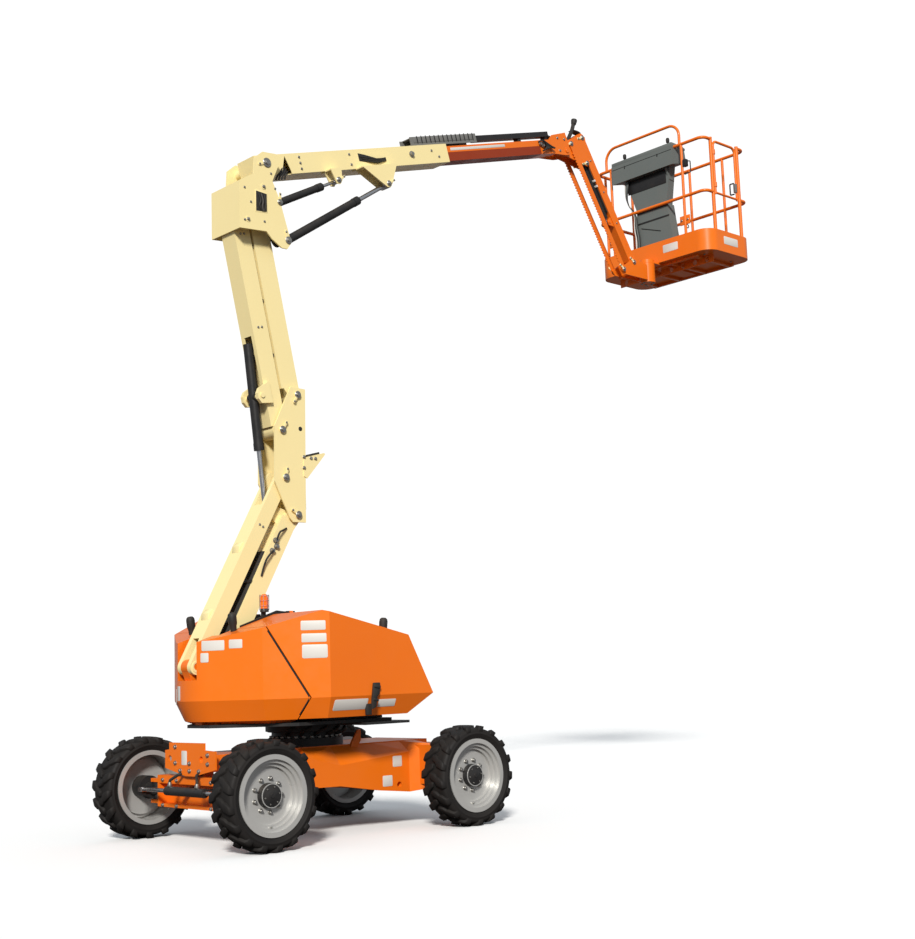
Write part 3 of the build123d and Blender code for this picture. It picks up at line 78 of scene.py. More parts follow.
def surface_group():
    """The masks that every finish shares."""
    group = bpy.data.node_groups.new("surface_field", "ShaderNodeTree")
    declare(group, "INPUT", {"Broad Scale": ("Float", 1.5), "Grain Scale": ("Float", 90.0),
                             "Grain Height": ("Float", 0.0006), "Dust": ("Float", 0.3),
                             "Rough Low": ("Float", 0.3), "Rough High": ("Float", 0.5)})
    declare(group, "OUTPUT", {"Tone": ("Float", None), "Dust Mask": ("Float", None),
                              "Roughness": ("Float", None), "Normal": ("Vector", None)})
    start, end = add(group, "NodeGroupInput"), add(group, "NodeGroupOutput")
    where, facing = add(group, "ShaderNodeTexCoord"), add(group, "ShaderNodeNewGeometry")
    broad = add(group, "ShaderNodeTexNoise", {"Detail": 5.0})
    grain = add(group, "ShaderNodeTexNoise", {"Detail": 3.0})
    streak = add(group, "ShaderNodeTexNoise", {"Scale": 7.0, "Detail": 7.0, "Roughness": 0.7})
    split = add(group, "ShaderNodeSeparateXYZ")
    up = add(group, "ShaderNodeMapRange", {"From Min": 0.1, "From Max": 1.0, "To Min": 0.25})
    patch = add(group, "ShaderNodeMapRange", {"From Min": 0.42, "From Max": 0.72})
    shine = add(group, "ShaderNodeMapRange", {"From Min": 0.3, "From Max": 0.7})
    settled, amount = (add(group, "ShaderNodeMath", operation="MULTIPLY") for _ in range(2))
    bump = add(group, "ShaderNodeBump", {"Strength": 0.6})
    join(group, *((where, "Object", noise, "Vector") for noise in (broad, grain, streak)),
         (start, "Broad Scale", broad, "Scale"), (start, "Grain Scale", grain, "Scale"),
         (broad, "Fac", end, "Tone"), (facing, "Normal", split, "Vector"), (split, "Z", up, "Value"),
         (streak, "Fac", patch, "Value"), (up, "Result", settled, 0), (patch, "Result", settled, 1),
         (settled, 0, amount, 0), (start, "Dust", amount, 1), (amount, 0, end, "Dust Mask"),
         (streak, "Fac", shine, "Value"), (start, "Rough Low", shine, "To Min"),
         (start, "Rough High", shine, "To Max"), (shine, "Result", end, "Roughness"),
         (grain, "Fac", bump, "Height"), (start, "Grain Height", bump, "Distance"),
         (bump, "Normal", end, "Normal"))
    return group


field = surface_group()


def finish(name, colour, second, dust_colour=(0.36, 0.27, 0.18), rough=(0.3, 0.5), metallic=0.0, coat=0.0,
           dust=0.3, grain=90.0, height=0.0006, glow=None):
    """A material whose base mixes two close tones and dust, from the shared field."""
    made = bpy.data.materials.new(name)
    made.use_nodes = True
    tree = made.node_tree
    shader = tree.nodes["Principled BSDF"]
    values = {"Metallic": metallic, "Coat Weight": coat, "Coat Roughness": 0.12,
              "Specular IOR Level": 0.3 if metallic < 0.1 else 0.5}
    if glow:
        values.update({"Emission Color": (*glow, 1.0), "Emission Strength": 0.25})
    for socket, value in values.items():
        shader.inputs[socket].default_value = value
    mask = add(tree, "ShaderNodeGroup", {"Grain Scale": grain, "Grain Height": height, "Dust": dust,
                                         "Rough Low": rough[0], "Rough High": rough[1]}, node_tree=field)
    tone = add(tree, "ShaderNodeMix", {"A": (*colour, 1.0), "B": (*second, 1.0)}, data_type="RGBA")
    dusty = add(tree, "ShaderNodeMix", {"B": (*dust_colour, 1.0)}, data_type="RGBA")
    join(tree, (mask, "Tone", tone, "Factor"), (mask, "Dust Mask", dusty, "Factor"),
         (tone, "Result", dusty, "A"), (dusty, "Result", shader, "Base Color"),
         (mask, "Roughness", shader, "Roughness"), (mask, "Normal", shader, "Normal"))
    return made


ORANGE = finish("orange_enamel", (0.84, 0.175, 0.008), (0.78, 0.15, 0.006), rough=(0.27, 0.42), coat=0.12,
                dust=0.06, height=0.0004)
CREAM = finish("cream_enamel", (0.9, 0.76, 0.39), (0.87, 0.72, 0.35), rough=(0.32, 0.5), coat=0.1, dust=0.08,
               height=0.0004)
BLACK = finish("black_enamel", (0.012, 0.012, 0.013), (0.022, 0.022, 0.023), rough=(0.3, 0.55), dust=0.12)
RUBBER = finish("hose_rubber", (0.012, 0.012, 0.012), (0.026, 0.025, 0.024), rough=(0.5, 0.75), dust=0.14,
                grain=220.0)
TYRE = finish("tyre_rubber", (0.007, 0.006, 0.006), (0.014, 0.012, 0.011), rough=(0.55, 0.85), dust=0.08,
              grain=260.0, height=0.0009, dust_colour=(0.15, 0.12, 0.09))
SILVER = finish("wheel_silver", (0.58, 0.575, 0.555), (0.46, 0.455, 0.44), rough=(0.26, 0.42), metallic=0.4,
                dust=0.08)
STEEL = finish("bright_steel", (0.62, 0.62, 0.63), (0.5, 0.5, 0.51), rough=(0.16, 0.34), metallic=1.0,
               dust=0.05)
ZINC = finish("zinc_bolt", (0.42, 0.41, 0.38), (0.3, 0.29, 0.27), rough=(0.3, 0.5), metallic=0.9, dust=0.15,
              grain=300.0)
IRON = finish("engine_iron", (0.035, 0.035, 0.036), (0.065, 0.06, 0.055), rough=(0.5, 0.75), metallic=0.3,
              dust=0.3)
GREY = finish("moulded_grey", (0.115, 0.13, 0.125), (0.14, 0.155, 0.148), rough=(0.45, 0.65), dust=0.12,
              grain=420.0, height=0.0007)
AMBER = finish("amber_lens", (0.95, 0.17, 0.012), (0.85, 0.12, 0.008), rough=(0.08, 0.2), dust=0.04,
               glow=(0.9, 0.2, 0.02))
PLATE = finish("blank_plate", (0.7, 0.67, 0.63), (0.62, 0.59, 0.55), rough=(0.3, 0.45), dust=0.1)
CHAIN = finish("chain_grey", (0.2, 0.2, 0.19), (0.13, 0.13, 0.125), rough=(0.4, 0.65), dust=0.2)
# A deep red that is painted shade, laid on the fly's lower box faces, whose own paint is the orange.
PAINTED_SHADE = finish("painted_shade_deep_red", (0.3, 0.035, 0.006), (0.25, 0.03, 0.006), rough=(0.4, 0.6), dust=0.08)

SLOT_MATERIAL = {"orange_paint": ORANGE, "cream_paint": CREAM, "black_paint": BLACK, "grey_plastic": GREY,
                 "wheel_paint": SILVER, "tyre_rubber": TYRE, "engine_iron": IRON, "bright_steel": STEEL,
                 "amber_plastic": AMBER}
slots = {row["node"]: row["material_slot"] for row in frame["record"]["subparts"]}
for node, piece in frame["nodes"].items():
    for seat in piece.material_slots:
        seat.link = "OBJECT"
        seat.material = SLOT_MATERIAL[slots[node]]

# Ways of making pieces ----------
# Pieces are assembled from small meshes, each with a place and a finish, and ride on one body. The
# basket lies towards +X, the tail towards -X and the near side is -Y.
HERE = Matrix.Identity(4)
MIRROR = Matrix.Scale(-1, 4, (0, 1, 0))
UP, DOWN = (0, 0, 1), (0, 0, -1)
TO_BASKET, TO_TAIL, TO_FAR, TO_NEAR = (1, 0, 0), (-1, 0, 0), (0, 1, 0), (0, -1, 0)


def move(x, y, z):
    """A matrix that shifts."""
    return Matrix.Translation((x, y, z))


def rotate(angle, axis="Y"):
    """A matrix that turns about an axis through the origin."""
    return Matrix.Rotation(angle, 4, axis)


def from_bmesh(bm):
    """A mesh of a bmesh, which is freed."""
    mesh = bpy.data.meshes.new("part")
    bmesh.ops.recalc_face_normals(bm, faces=bm.faces)
    bm.to_mesh(mesh)
    bm.free()
    return mesh


def assemble(name, body, parts, smooth=40):
    """One piece of several (mesh, matrix, material) parts, at the origin and riding on a body."""
    finishes = []
    whole = bmesh.new()
    for mesh, place, material in parts:
        if material not in finishes:
            finishes.append(material)
        copy = mesh.copy()
        copy.transform(place)
        first = len(whole.faces)
        whole.from_mesh(copy)
        whole.faces.ensure_lookup_table()
        for face in whole.faces[first:]:
            face.material_index = finishes.index(material)
            face.smooth = True
        bpy.data.meshes.remove(copy)
    limit = radians(smooth)
    for edge in whole.edges:
        edge.smooth = len(edge.link_faces) == 2 and edge.calc_face_angle(0.0) < limit
    mesh = bpy.data.meshes.new(name)
    whole.to_mesh(mesh)
    whole.free()
    for material in finishes:
        mesh.materials.append(material)
    piece = bpy.data.objects.new(name, mesh)
    show(piece)
    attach(piece, body)
    return piece


def lathe(profile, segments=48, closed=False):
    """A turned mesh about the Y axis from (radius, y) points."""
    bm = bmesh.new()
    rings = []
    for k in range(segments):
        a = 2 * pi * k / segments
        rings.append([bm.verts.new((r * sin(a), y, r * cos(a))) for r, y in profile])
    steps = len(profile) if closed else len(profile) - 1
    for k in range(segments):
        here, there = rings[k], rings[(k + 1) % segments]
        for i in range(steps):
            j = (i + 1) % len(profile)
            bm.faces.new((here[i], here[j], there[j], there[i]))
    bmesh.ops.remove_doubles(bm, verts=bm.verts, dist=1e-6)
    return from_bmesh(bm)


def bevelled(bm, width, segments=2, angle=30):
    """Rounds the sharp edges of a small bmesh."""
    bmesh.ops.recalc_face_normals(bm, faces=bm.faces)
    edges = [e for e in bm.edges if len(e.link_faces) == 2 and e.calc_face_angle(0.0) > radians(angle)]
    bmesh.ops.bevel(bm, geom=edges, offset=width, segments=segments, affect="EDGES", profile=0.5)
    return bm


def brick(size, width=0.002, centre=(0, 0, 0)):
    """A box mesh with rounded edges."""
    bm = bmesh.new()
    bmesh.ops.create_cube(bm, size=1.0)
    bmesh.ops.scale(bm, vec=size, verts=bm.verts)
    bmesh.ops.translate(bm, vec=centre, verts=bm.verts)
    return from_bmesh(bevelled(bm, width))


def prism(points, thickness, width=0.0015):
    """A plate of (x, z) points, its thickness centred on Y."""
    bm = bmesh.new()
    near = [bm.verts.new((x, -thickness / 2, z)) for x, z in points]
    far = [bm.verts.new((x, thickness / 2, z)) for x, z in points]
    bm.faces.new(near)
    bm.faces.new(far[::-1])
    for i in range(len(points)):
        j = (i + 1) % len(points)
        bm.faces.new((near[i], far[i], far[j], near[j]))
    return from_bmesh(bevelled(bm, width))


def aim(point, axis, spin=0.0):
    """A matrix that puts local -Y along the axis, outwards from the point."""
    turn = (-Vector(axis)).to_track_quat("Y", "Z").to_matrix().to_4x4()
    return Matrix.Translation(point) @ turn @ rotate(spin)


def hex_head(across, height, washer=True):
    """A hexagon bolt head, on a washer or bare, its axis along -Y, its seat at the origin."""
    bm = bmesh.new()
    r = across / sqrt(3)
    layers = [(r, 6, -0.18 * height, -height)] + [(across * 0.74, 20, 0.0, -0.2 * height)] * washer
    for radius, sides, y0, y1 in layers:
        rings = [[bm.verts.new((radius * sin(a), y, radius * cos(a)))
                  for a in (2 * pi * k / sides for k in range(sides))] for y in (y0, y1)]
        bm.faces.new(rings[1])
        bm.faces.new(rings[0][::-1])
        for k in range(sides):
            j = (k + 1) % sides
            bm.faces.new((rings[0][k], rings[0][j], rings[1][j], rings[1][k]))
    return from_bmesh(bevelled(bm, height * 0.12, 1))


def tube(points, radius, roundness=2):
    """A round tube mesh along a smooth NURBS line through the region of its points."""
    curve = bpy.data.curves.new("line", "CURVE")
    curve.dimensions = "3D"
    spline = curve.splines.new("NURBS")
    spline.points.add(len(points) - 1)
    for point, at in zip(spline.points, points):
        point.co = (*at, 1.0)
    spline.use_endpoint_u = True
    spline.order_u = min(3, len(points))
    spline.resolution_u = 8
    curve.bevel_depth = radius
    curve.bevel_resolution = roundness
    curve.use_fill_caps = True
    holder = bpy.data.objects.new("line", curve)
    show(holder)
    bpy.context.view_layer.update()
    mesh = bpy.data.meshes.new_from_object(holder.evaluated_get(bpy.context.evaluated_depsgraph_get()))
    bpy.data.objects.remove(holder)
    bpy.data.curves.remove(curve)
    return mesh


def pipe_run(points, radius, bend):
    """A tube of straight runs joined by short bends."""
    line = [Vector(points[0])]
    for before, corner, after in zip(points, points[1:], points[2:]):
        corner = Vector(corner)
        one = (Vector(before) - corner).normalized()
        two = (Vector(after) - corner).normalized()
        for t in (1.0, 0.55, 0.2):
            line.append(corner + one * bend * t)
        for t in (0.2, 0.55, 1.0):
            line.append(corner + two * bend * t)
    line.append(Vector(points[-1]))
    return tube(line, radius)


def hose(points, radius, place=HERE, material=RUBBER):
    """A hose or cable as one part."""
    return (tube(points, radius), place, material)


def array_group():
    """Geometry nodes that repeat one piece along an offset and about a turn."""
    group = bpy.data.node_groups.new("array_of", "GeometryNodeTree")
    declare(group, "INPUT", {"Geometry": ("Geometry", None), "Piece": ("Object", None),
                             "Count": ("Int", None), "Offset": ("Vector", None), "Turn": ("Vector", None)})
    declare(group, "OUTPUT", {"Geometry": ("Geometry", None)})
    start, end, info, line, index, place, real = (add(group, kind) for kind in (
        "NodeGroupInput", "NodeGroupOutput", "GeometryNodeObjectInfo", "GeometryNodeMeshLine",
        "GeometryNodeInputIndex", "GeometryNodeInstanceOnPoints", "GeometryNodeRealizeInstances"))
    turn = add(group, "ShaderNodeVectorMath", operation="SCALE")
    join(group, (start, "Piece", info, "Object"), (start, "Count", line, "Count"),
         (start, "Offset", line, "Offset"), (start, "Turn", turn, 0), (index, 0, turn, "Scale"),
         (line, "Mesh", place, "Points"), (info, "Geometry", place, "Instance"),
         (turn, "Vector", place, "Rotation"), (place, "Instances", real, "Geometry"),
         (real, "Geometry", end, "Geometry"))
    return group


repeat_group = array_group()


def repeated(mesh, count, offset=(0, 0, 0), turn=(0, 0, 0)):
    """A plain mesh of count copies, each moved and turned by one more step."""
    part = bpy.data.objects.new("one", mesh)
    host = bpy.data.objects.new("many", bpy.data.meshes.new("many"))
    for thing in (part, host):
        show(thing)
    modifier = host.modifiers.new("array", "NODES")
    modifier.node_group = repeat_group
    keys = {item.name: item.identifier for item in repeat_group.interface.items_tree
            if item.item_type == "SOCKET" and item.in_out == "INPUT"}
    for name, value in (("Piece", part), ("Count", count), ("Offset", offset), ("Turn", turn)):
        modifier[keys[name]] = value
    bpy.context.view_layer.update()
    result = bpy.data.meshes.new_from_object(host.evaluated_get(bpy.context.evaluated_depsgraph_get()))
    host.modifiers.remove(modifier)
    for thing in (part, host):
        bpy.data.objects.remove(thing)
    result.materials.clear()
    return result


solid_trees = {}


def surface(node, start, direction):
    """Where a ray meets a CAD node, and the face's normal there."""
    if node not in solid_trees:
        piece = frame["nodes"][node]
        solid_trees[node] = BVHTree.FromPolygons([v.co for v in piece.data.vertices],
                                                 [p.vertices[:] for p in piece.data.polygons])
    point, normal, _, _ = solid_trees[node].ray_cast(Vector(start), Vector(direction).normalized())
    if point is None:
        raise ValueError(f"nothing of {node} lies that way from {start}")
    if normal.dot(Vector(direction)) > 0:
        normal = -normal
    return point, normal


def mirrored(parts):
    """The same parts on the far side."""
    made = []
    for mesh, place, material in parts:
        copy = mesh.copy()
        copy.transform(MIRROR @ place)
        copy.flip_normals()
        made.append((copy, HERE, material))
    return made


def both_sides(parts):
    """The parts and their mirrored twins."""
    return parts + mirrored(parts)


def bolts_at(spots, across, height, y, place=HERE):
    """Bolt heads on a near face at y, from (x, z) spots."""
    return [(hex_head(across, height), place @ move(x, y, z), ZINC) for x, z in spots]


# Tyres --------------------------
# Pneumatic industrial tyres: a ribbed casing and two rows of slanted, interlocking lugs that
# wrap over the shoulder.
TYRE_R, TREAD_FLOOR = 0.394, 0.3735
casing_profile = [(0.2625, 0.104), (0.27, 0.106), (0.292, 0.1085), (0.298, 0.114), (0.312, 0.12),
                  (0.322, 0.1235), (0.325, 0.1262), (0.33, 0.1262), (0.333, 0.1235), (0.345, 0.124),
                  (0.358, 0.119), (0.368, 0.108), (0.372, 0.08), (TREAD_FLOOR, 0.04)]
casing = lathe(casing_profile + [(TREAD_FLOOR, 0.0)] + [(r, -y) for r, y in reversed(casing_profile)], 96,
               closed=True)
LUG_ROWS = (  # top y, top radius, base y, base radius, start and end along the tread
    (0.1268, 0.346, 0.118, 0.343, 0.0, 0.047), (0.1268, 0.372, 0.112, 0.356, 0.002, 0.052),
    (0.117, 0.3895, 0.104, 0.366, 0.006, 0.064), (0.08, 0.3932, 0.08, 0.37, 0.02, 0.086),
    (0.056, 0.3935, 0.056, 0.371, 0.03, 0.09), (0.036, 0.394, 0.036, 0.372, 0.058, 0.112),
    (0.004, 0.394, 0.004, 0.372, 0.076, 0.124), (-0.016, 0.394, -0.016, 0.372, 0.092, 0.122))
LUG_COUNT = 17


def tread_lug(side):
    """One lug, its rows running from the shoulder past the middle of the tread."""
    bm = bmesh.new()
    rows = []
    for top_y, top_r, base_y, base_r, s0, s1 in LUG_ROWS:
        row = []
        for y, r, spread in ((base_y, base_r, 0.005), (top_y, top_r, 0.0)):
            for s in (s0 - spread, (s0 + s1) / 2, s1 + spread):
                a = s / TYRE_R
                row.append(bm.verts.new((r * sin(a), side * y, r * cos(a))))
        rows.append(row)
    for one, two in zip(rows, rows[1:]):
        for i, j in ((3, 4), (4, 5), (0, 3), (5, 2)):
            bm.faces.new((one[i], one[j], two[j], two[i]))
    for row in (rows[0], rows[-1]):
        bm.faces.new((row[0], row[1], row[4], row[3]))
        bm.faces.new((row[1], row[2], row[5], row[4]))
    return from_bmesh(bevelled(bm, 0.0022, 1, 35))


LUG_PITCH = 2 * pi / LUG_COUNT
lugs = [(repeated(tread_lug(side), LUG_COUNT, turn=(0, LUG_PITCH, 0)), rotate(shift * LUG_PITCH))
        for side, shift in ((-1, 0.0), (1, 0.5))]
AXLE_X, WHEEL_Y = 0.98, 0.838
WHEELS = (("front_near", -AXLE_X, -1), ("front_far", -AXLE_X, 1), ("rear_near", AXLE_X, -1),
          ("rear_far", AXLE_X, 1))
WHEEL_TURN = {"front_near": 0.0, "front_far": 0.11, "rear_near": 0.07, "rear_far": 0.05}


def wheel_seat(station, x, side):
    """The place of a wheel, its outer face turned to the machine's own side."""
    seat = move(x, side * WHEEL_Y, TYRE_R) @ rotate(WHEEL_TURN[station])
    return seat @ rotate(pi, "Z") if side > 0 else seat


for station, x, side in WHEELS:
    seat = wheel_seat(station, x, side)
    parts = [(casing, seat, TYRE)] + [(mesh, seat @ turn, TYRE) for mesh, turn in lugs]
    tyre = assemble("tyre_" + station + "_tread", "wheel_" + station, parts, 45)
    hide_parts("tyre_" + station)

# Wheel centres ------------------
# A black hub cover with a plug and small bolts, nine wheel nuts on studs around it, and a valve.
# Every wheel carries the same set.
hub_cover = lathe([(0.0, -0.0985), (0.04, -0.0985), (0.046, -0.0945), (0.074, -0.0945), (0.084, -0.09),
                   (0.0885, -0.08), (0.0885, 0.038), (0.086, 0.038)], 40)
hub_plug = lathe([(0.0, -0.1035), (0.016, -0.1035), (0.019, -0.098), (0.019, -0.094)], 20)


def ring_of(mesh, count, radius, y, start=0.0):
    """Copies of a mesh around the Y axis at a radius."""
    moved = mesh.copy()
    moved.transform(move(0, y, radius))
    many = repeated(moved, count, turn=(0, 2 * pi / count, 0))
    many.transform(rotate(start))
    return many


STUD_RING, NAVE_FACE = 0.119, -0.0385
wheel_nuts = ring_of(hex_head(0.024, 0.017), 9, STUD_RING, NAVE_FACE, 0.2)
wheel_studs = ring_of(lathe([(0.0, -0.026), (0.0065, -0.026), (0.0075, -0.024), (0.0075, 0.0)], 12), 9,
                      STUD_RING, NAVE_FACE, 0.2)
small_bolts = ring_of(hex_head(0.011, 0.007, False), 6, 0.062, -0.0945, 0.3)
valve = tube([(0, -0.05, -0.222), (0, -0.072, -0.222), (0, -0.088, -0.214)], 0.0045)
for station, x, side in WHEELS:
    seat = wheel_seat(station, x, side)
    parts = ((hub_cover, BLACK), (hub_plug, BLACK), (wheel_nuts, ZINC), (wheel_studs, STEEL),
             (small_bolts, ZINC), (valve, ZINC))
    assemble("wheel_centre_" + station, "wheel_" + station,
             [(mesh, seat, material) for mesh, material in parts])

# Blank plates -------------------
# Thin white plates with rounded corners, laid on the faces where the machine carries its notices.
# All are left bare.
PLATE_THICK, CORNER = 0.0016, 0.12


def notice(node, start, direction, width, height):
    """A blank plate lying on a CAD face, with its bottom edge level."""
    point, normal = surface(node, start, direction)
    side = Vector((0, 0, 1)).cross(normal).normalized()
    up = normal.cross(side)
    turn = Matrix((side, -normal, up)).transposed().to_4x4()
    r = min(width, height) * CORNER
    outline = []
    for cx, cz, a0 in ((width / 2 - r, height / 2 - r, 0), (r - width / 2, height / 2 - r, 90),
                       (r - width / 2, r - height / 2, 180), (width / 2 - r, r - height / 2, 270)):
        for k in range(4):
            a = radians(a0 + 30 * k)
            outline.append((cx + r * cos(a), cz + r * sin(a)))
    place = Matrix.Translation(point + normal * PLATE_THICK / 2) @ turn
    return (prism(outline, PLATE_THICK, 0.0004), place, PLATE)


HOOD_FACET = Vector((-0.543, -0.84, 0.0))
near_notices = []
for along, z, width, height in ((0.755, 1.592, 0.185, 0.07), (0.765, 1.5, 0.185, 0.064),
                                (0.775, 1.4, 0.19, 0.1)):
    before = Vector((-0.828 + 0.418 * along, -0.615 - 0.27 * along, z)) + HOOD_FACET
    near_notices.append(notice("hood_near", before, -HOOD_FACET, width, height))
near_notices += [notice("hood_near", (x, -1.2, 0.998), TO_FAR, width, height)
                 for x, width, height in ((-0.205, 0.32, 0.088), (0.145, 0.17, 0.062))]
assemble("hood_notices_near", "hood_near", near_notices)
assemble("hood_notices_far", "hood_far", mirrored(near_notices[:2] + near_notices[3:4]))
for name, body, node, rows in (
        ("tail_notices", "turntable", "counterweight",
         [((-1.5, y, z), TO_BASKET, width, height)
          for y, z, width, height in ((-0.262, 1.468, 0.19, 0.075), (-0.425, 1.474, 0.11, 0.065),
                                      (-0.2, 1.38, 0.07, 0.07), (0.11, 1.12, 0.07, 0.11),
                                      (0.205, 1.095, 0.07, 0.12))]),
        ("chassis_notices", "chassis", "chassis_frame",
         (((0.575, -1.2, 0.52), TO_FAR, 0.095, 0.085), ((0.47, -1.2, 0.372), TO_FAR, 0.1, 0.085),
          ((-1.4, 0.075, 0.64), TO_BASKET, 0.075, 0.105), ((0.575, 1.2, 0.52), TO_NEAR, 0.095, 0.085))),
        ("basket_notices", "platform", "platform_floor",
         (((4.5, -0.25, 5.61), TO_BASKET, 0.2, 0.085), ((5.09, -1.2, 5.61), TO_FAR, 0.24, 0.085),
          ((6.2, 0.1, 5.61), TO_TAIL, 0.24, 0.085)))):
    assemble(name, body, [notice(node, *row) for row in rows])

# Hood latches, knobs and seal ---
# A rubber strap latch low on each hood, black lifting knobs on top, and the dark seal that
# follows the slanting joint between hood and tail.
point, _ = surface("hood_near", (0.0, -1.3, 1.075), TO_FAR)
seat = Matrix.Translation(point + Vector((0, -0.013, -0.02))) @ rotate(0.16)
latch_near = [(prism([(-0.03, 0.095), (0.03, 0.105), (0.036, 0.02), (0.018, -0.005), (0.016, -0.085),
                      (-0.022, -0.105), (-0.028, -0.02)], 0.024, 0.006), seat, RUBBER)]
latch_near += [(brick(size, 0.005, (0.002, -0.004, z)), seat, RUBBER)
               for size, z in (((0.06, 0.034, 0.022), 0.07), ((0.052, 0.03, 0.018), -0.03))]
point, _ = surface("hood_near", (-0.03, -1.3, 0.955), TO_FAR)
latch_near.append((brick((0.05, 0.026, 0.085), 0.006), Matrix.Translation(point + Vector((0, -0.012, 0))),
                   RUBBER))
assemble("strap_latch_near", "hood_near", latch_near)
assemble("strap_latch_far", "hood_far", mirrored(latch_near))
knob = lathe([(0.0, -0.145), (0.018, -0.143), (0.03, -0.132), (0.034, -0.112), (0.033, -0.06),
              (0.026, -0.04), (0.024, 0.0), (0.0, 0.0)], 24)
for name, node, body, spot in (("knob_front", "hood_near", "hood_near", (0.335, -0.6)),
                               ("knob_front_far", "hood_far", "hood_far", (0.335, 0.6)),
                               ("knob_tail_near", "counterweight", "turntable", (-0.86, -0.285)),
                               ("knob_tail_far", "counterweight", "turntable", (-0.86, 0.3))):
    point, normal = surface(node, (*spot, 2.4), DOWN)
    assemble(name, body,
             [(knob, aim(point - normal * 0.004, (normal + Vector((0, 0, 1.4))).normalized()), RUBBER)])
SEAM_LINE = ((-0.806, 1.59), (-0.536, 1.06), (-0.575, 0.905))
SEAM_BEND = 0.8  # the part of the line above its bend
seal_line = []
for k in range(1, 24):
    t = k / 24
    if t < SEAM_BEND:
        (x0, z0), (x1, z1), f = *SEAM_LINE[:2], t / SEAM_BEND
    else:
        (x0, z0), (x1, z1), f = *SEAM_LINE[1:], (t - SEAM_BEND) / (1 - SEAM_BEND)
    point, normal = surface("counterweight", (x0 + (x1 - x0) * f - 0.004, -1.3, z0 + (z1 - z0) * f), TO_FAR)
    seal_line.append(point - normal * 0.004)
seal = [hose(seal_line, 0.0065)]
assemble("seam_seal_near", "turntable", seal)
assemble("seam_seal_far", "turntable", mirrored(seal))

# Beacon -------------------------
# An amber flashing lamp with ribs and a wire cage on a black foot. Its bracket stands on the
# near guard plate.
BEACON_X, BEACON_Y = -0.537, -0.226
lens = lathe([(0.0, -0.114), (0.015, -0.112), (0.024, -0.102), (0.027, -0.086), (0.028, -0.02), (0.03, 0.0)],
             28)
ribs = ring_of(brick((0.003, 0.07, 0.003), 0.001), 14, 0.028, -0.055)
foot = lathe([(0.0, -0.03), (0.029, -0.028), (0.034, -0.022), (0.034, 0.0), (0.0, 0.0)], 28)
foot_seat, lens_seat = (aim((BEACON_X, BEACON_Y, z), UP) for z in (1.722, 1.748))
CAGE_R, WIRE_R = 0.037, 0.0022
beacon = [(lathe([(CAGE_R + WIRE_R * cos(a), y + WIRE_R * sin(a))
                  for a in (k * pi / 3 for k in range(6))], 32, closed=True), lens_seat, STEEL)
          for y in (-0.02, -0.06, -0.098)]
wires = ring_of(tube([(0, 0.012, 0), (0, -0.04, 0.0005), (0, -0.108, 0)], WIRE_R, 1), 8, CAGE_R, 0.0)
beacon += [(wires, lens_seat, STEEL), (foot, foot_seat, BLACK), (lens, lens_seat, AMBER),
           (ribs, lens_seat, AMBER),
           (brick((0.044, 0.008, 0.084), 0.002), move(BEACON_X, -0.213, 1.681), BLACK)]
beacon = assemble("beacon_lamp", "turntable", beacon)
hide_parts("beacon")

# Undercarriage ------------------
# Bolts round the swing bearing, on the chassis's front and on the axle, the steering hoses with
# their unions, and the hoses that come up through the bearing, in a black ring.
BEARING_BOLT_RING = 0.272
under = [(ring_of(hex_head(0.03, 0.02), 28, BEARING_BOLT_RING, 0.0), aim((0, 0, 0.737), UP), ZINC)]
for y, z in ((-0.25, 0.6), (-0.25, 0.665), (0.2, 0.6), (0.2, 0.72), (0.0, 0.545), (0.0, 0.6), (0.13, 0.545),
             (-0.13, 0.545)):
    point, normal = surface("chassis_frame", (-1.4, y, z), TO_BASKET)
    under.append((hex_head(0.024, 0.014), aim(point, normal), ZINC))
under += [(hex_head(0.022, 0.013), aim((-1.041, y, z), TO_TAIL), ZINC)
          for y in (-0.44, -0.24, 0.24, 0.44) for z in (0.275, 0.465)]
UNION_X, UNION_Y = -1.13, 0.19
union = lathe([(0.0, -0.03), (0.014, -0.03), (0.016, -0.012), (0.02, -0.01), (0.02, 0.0)], 14)
for side in (-1, 1):
    y = side * UNION_Y
    route = [(UNION_X, y, 0.44), (UNION_X, y, 0.475), (-1.09, side * 0.12, 0.52), (-0.96, side * 0.1, 0.53)]
    under += [(pipe_run(route, 0.011, 0.03), HERE, RUBBER), (union, aim((UNION_X, y, 0.432), UP), ZINC)]
assemble("undercarriage_fittings", "chassis", under)
hoses = []
for k in range(7):
    a = radians(200 + 24 * k)
    hoses.append(hose([(r * cos(a + turn), r * sin(a + turn), z) for r, turn, z in (
        (0.2, 0.0, 0.742), (0.32, 0.0, 0.775), (0.34, 0.3, 0.822), (0.26, 0.5, 0.85))], 0.012))
hoses.append((lathe([(0.3, -0.055), (0.318, -0.05), (0.318, 0.0), (0.3, 0.004)], 64), aim((0, 0, 0.792), UP),
              BLACK))
assemble("turntable_hoses", "turntable", hoses)

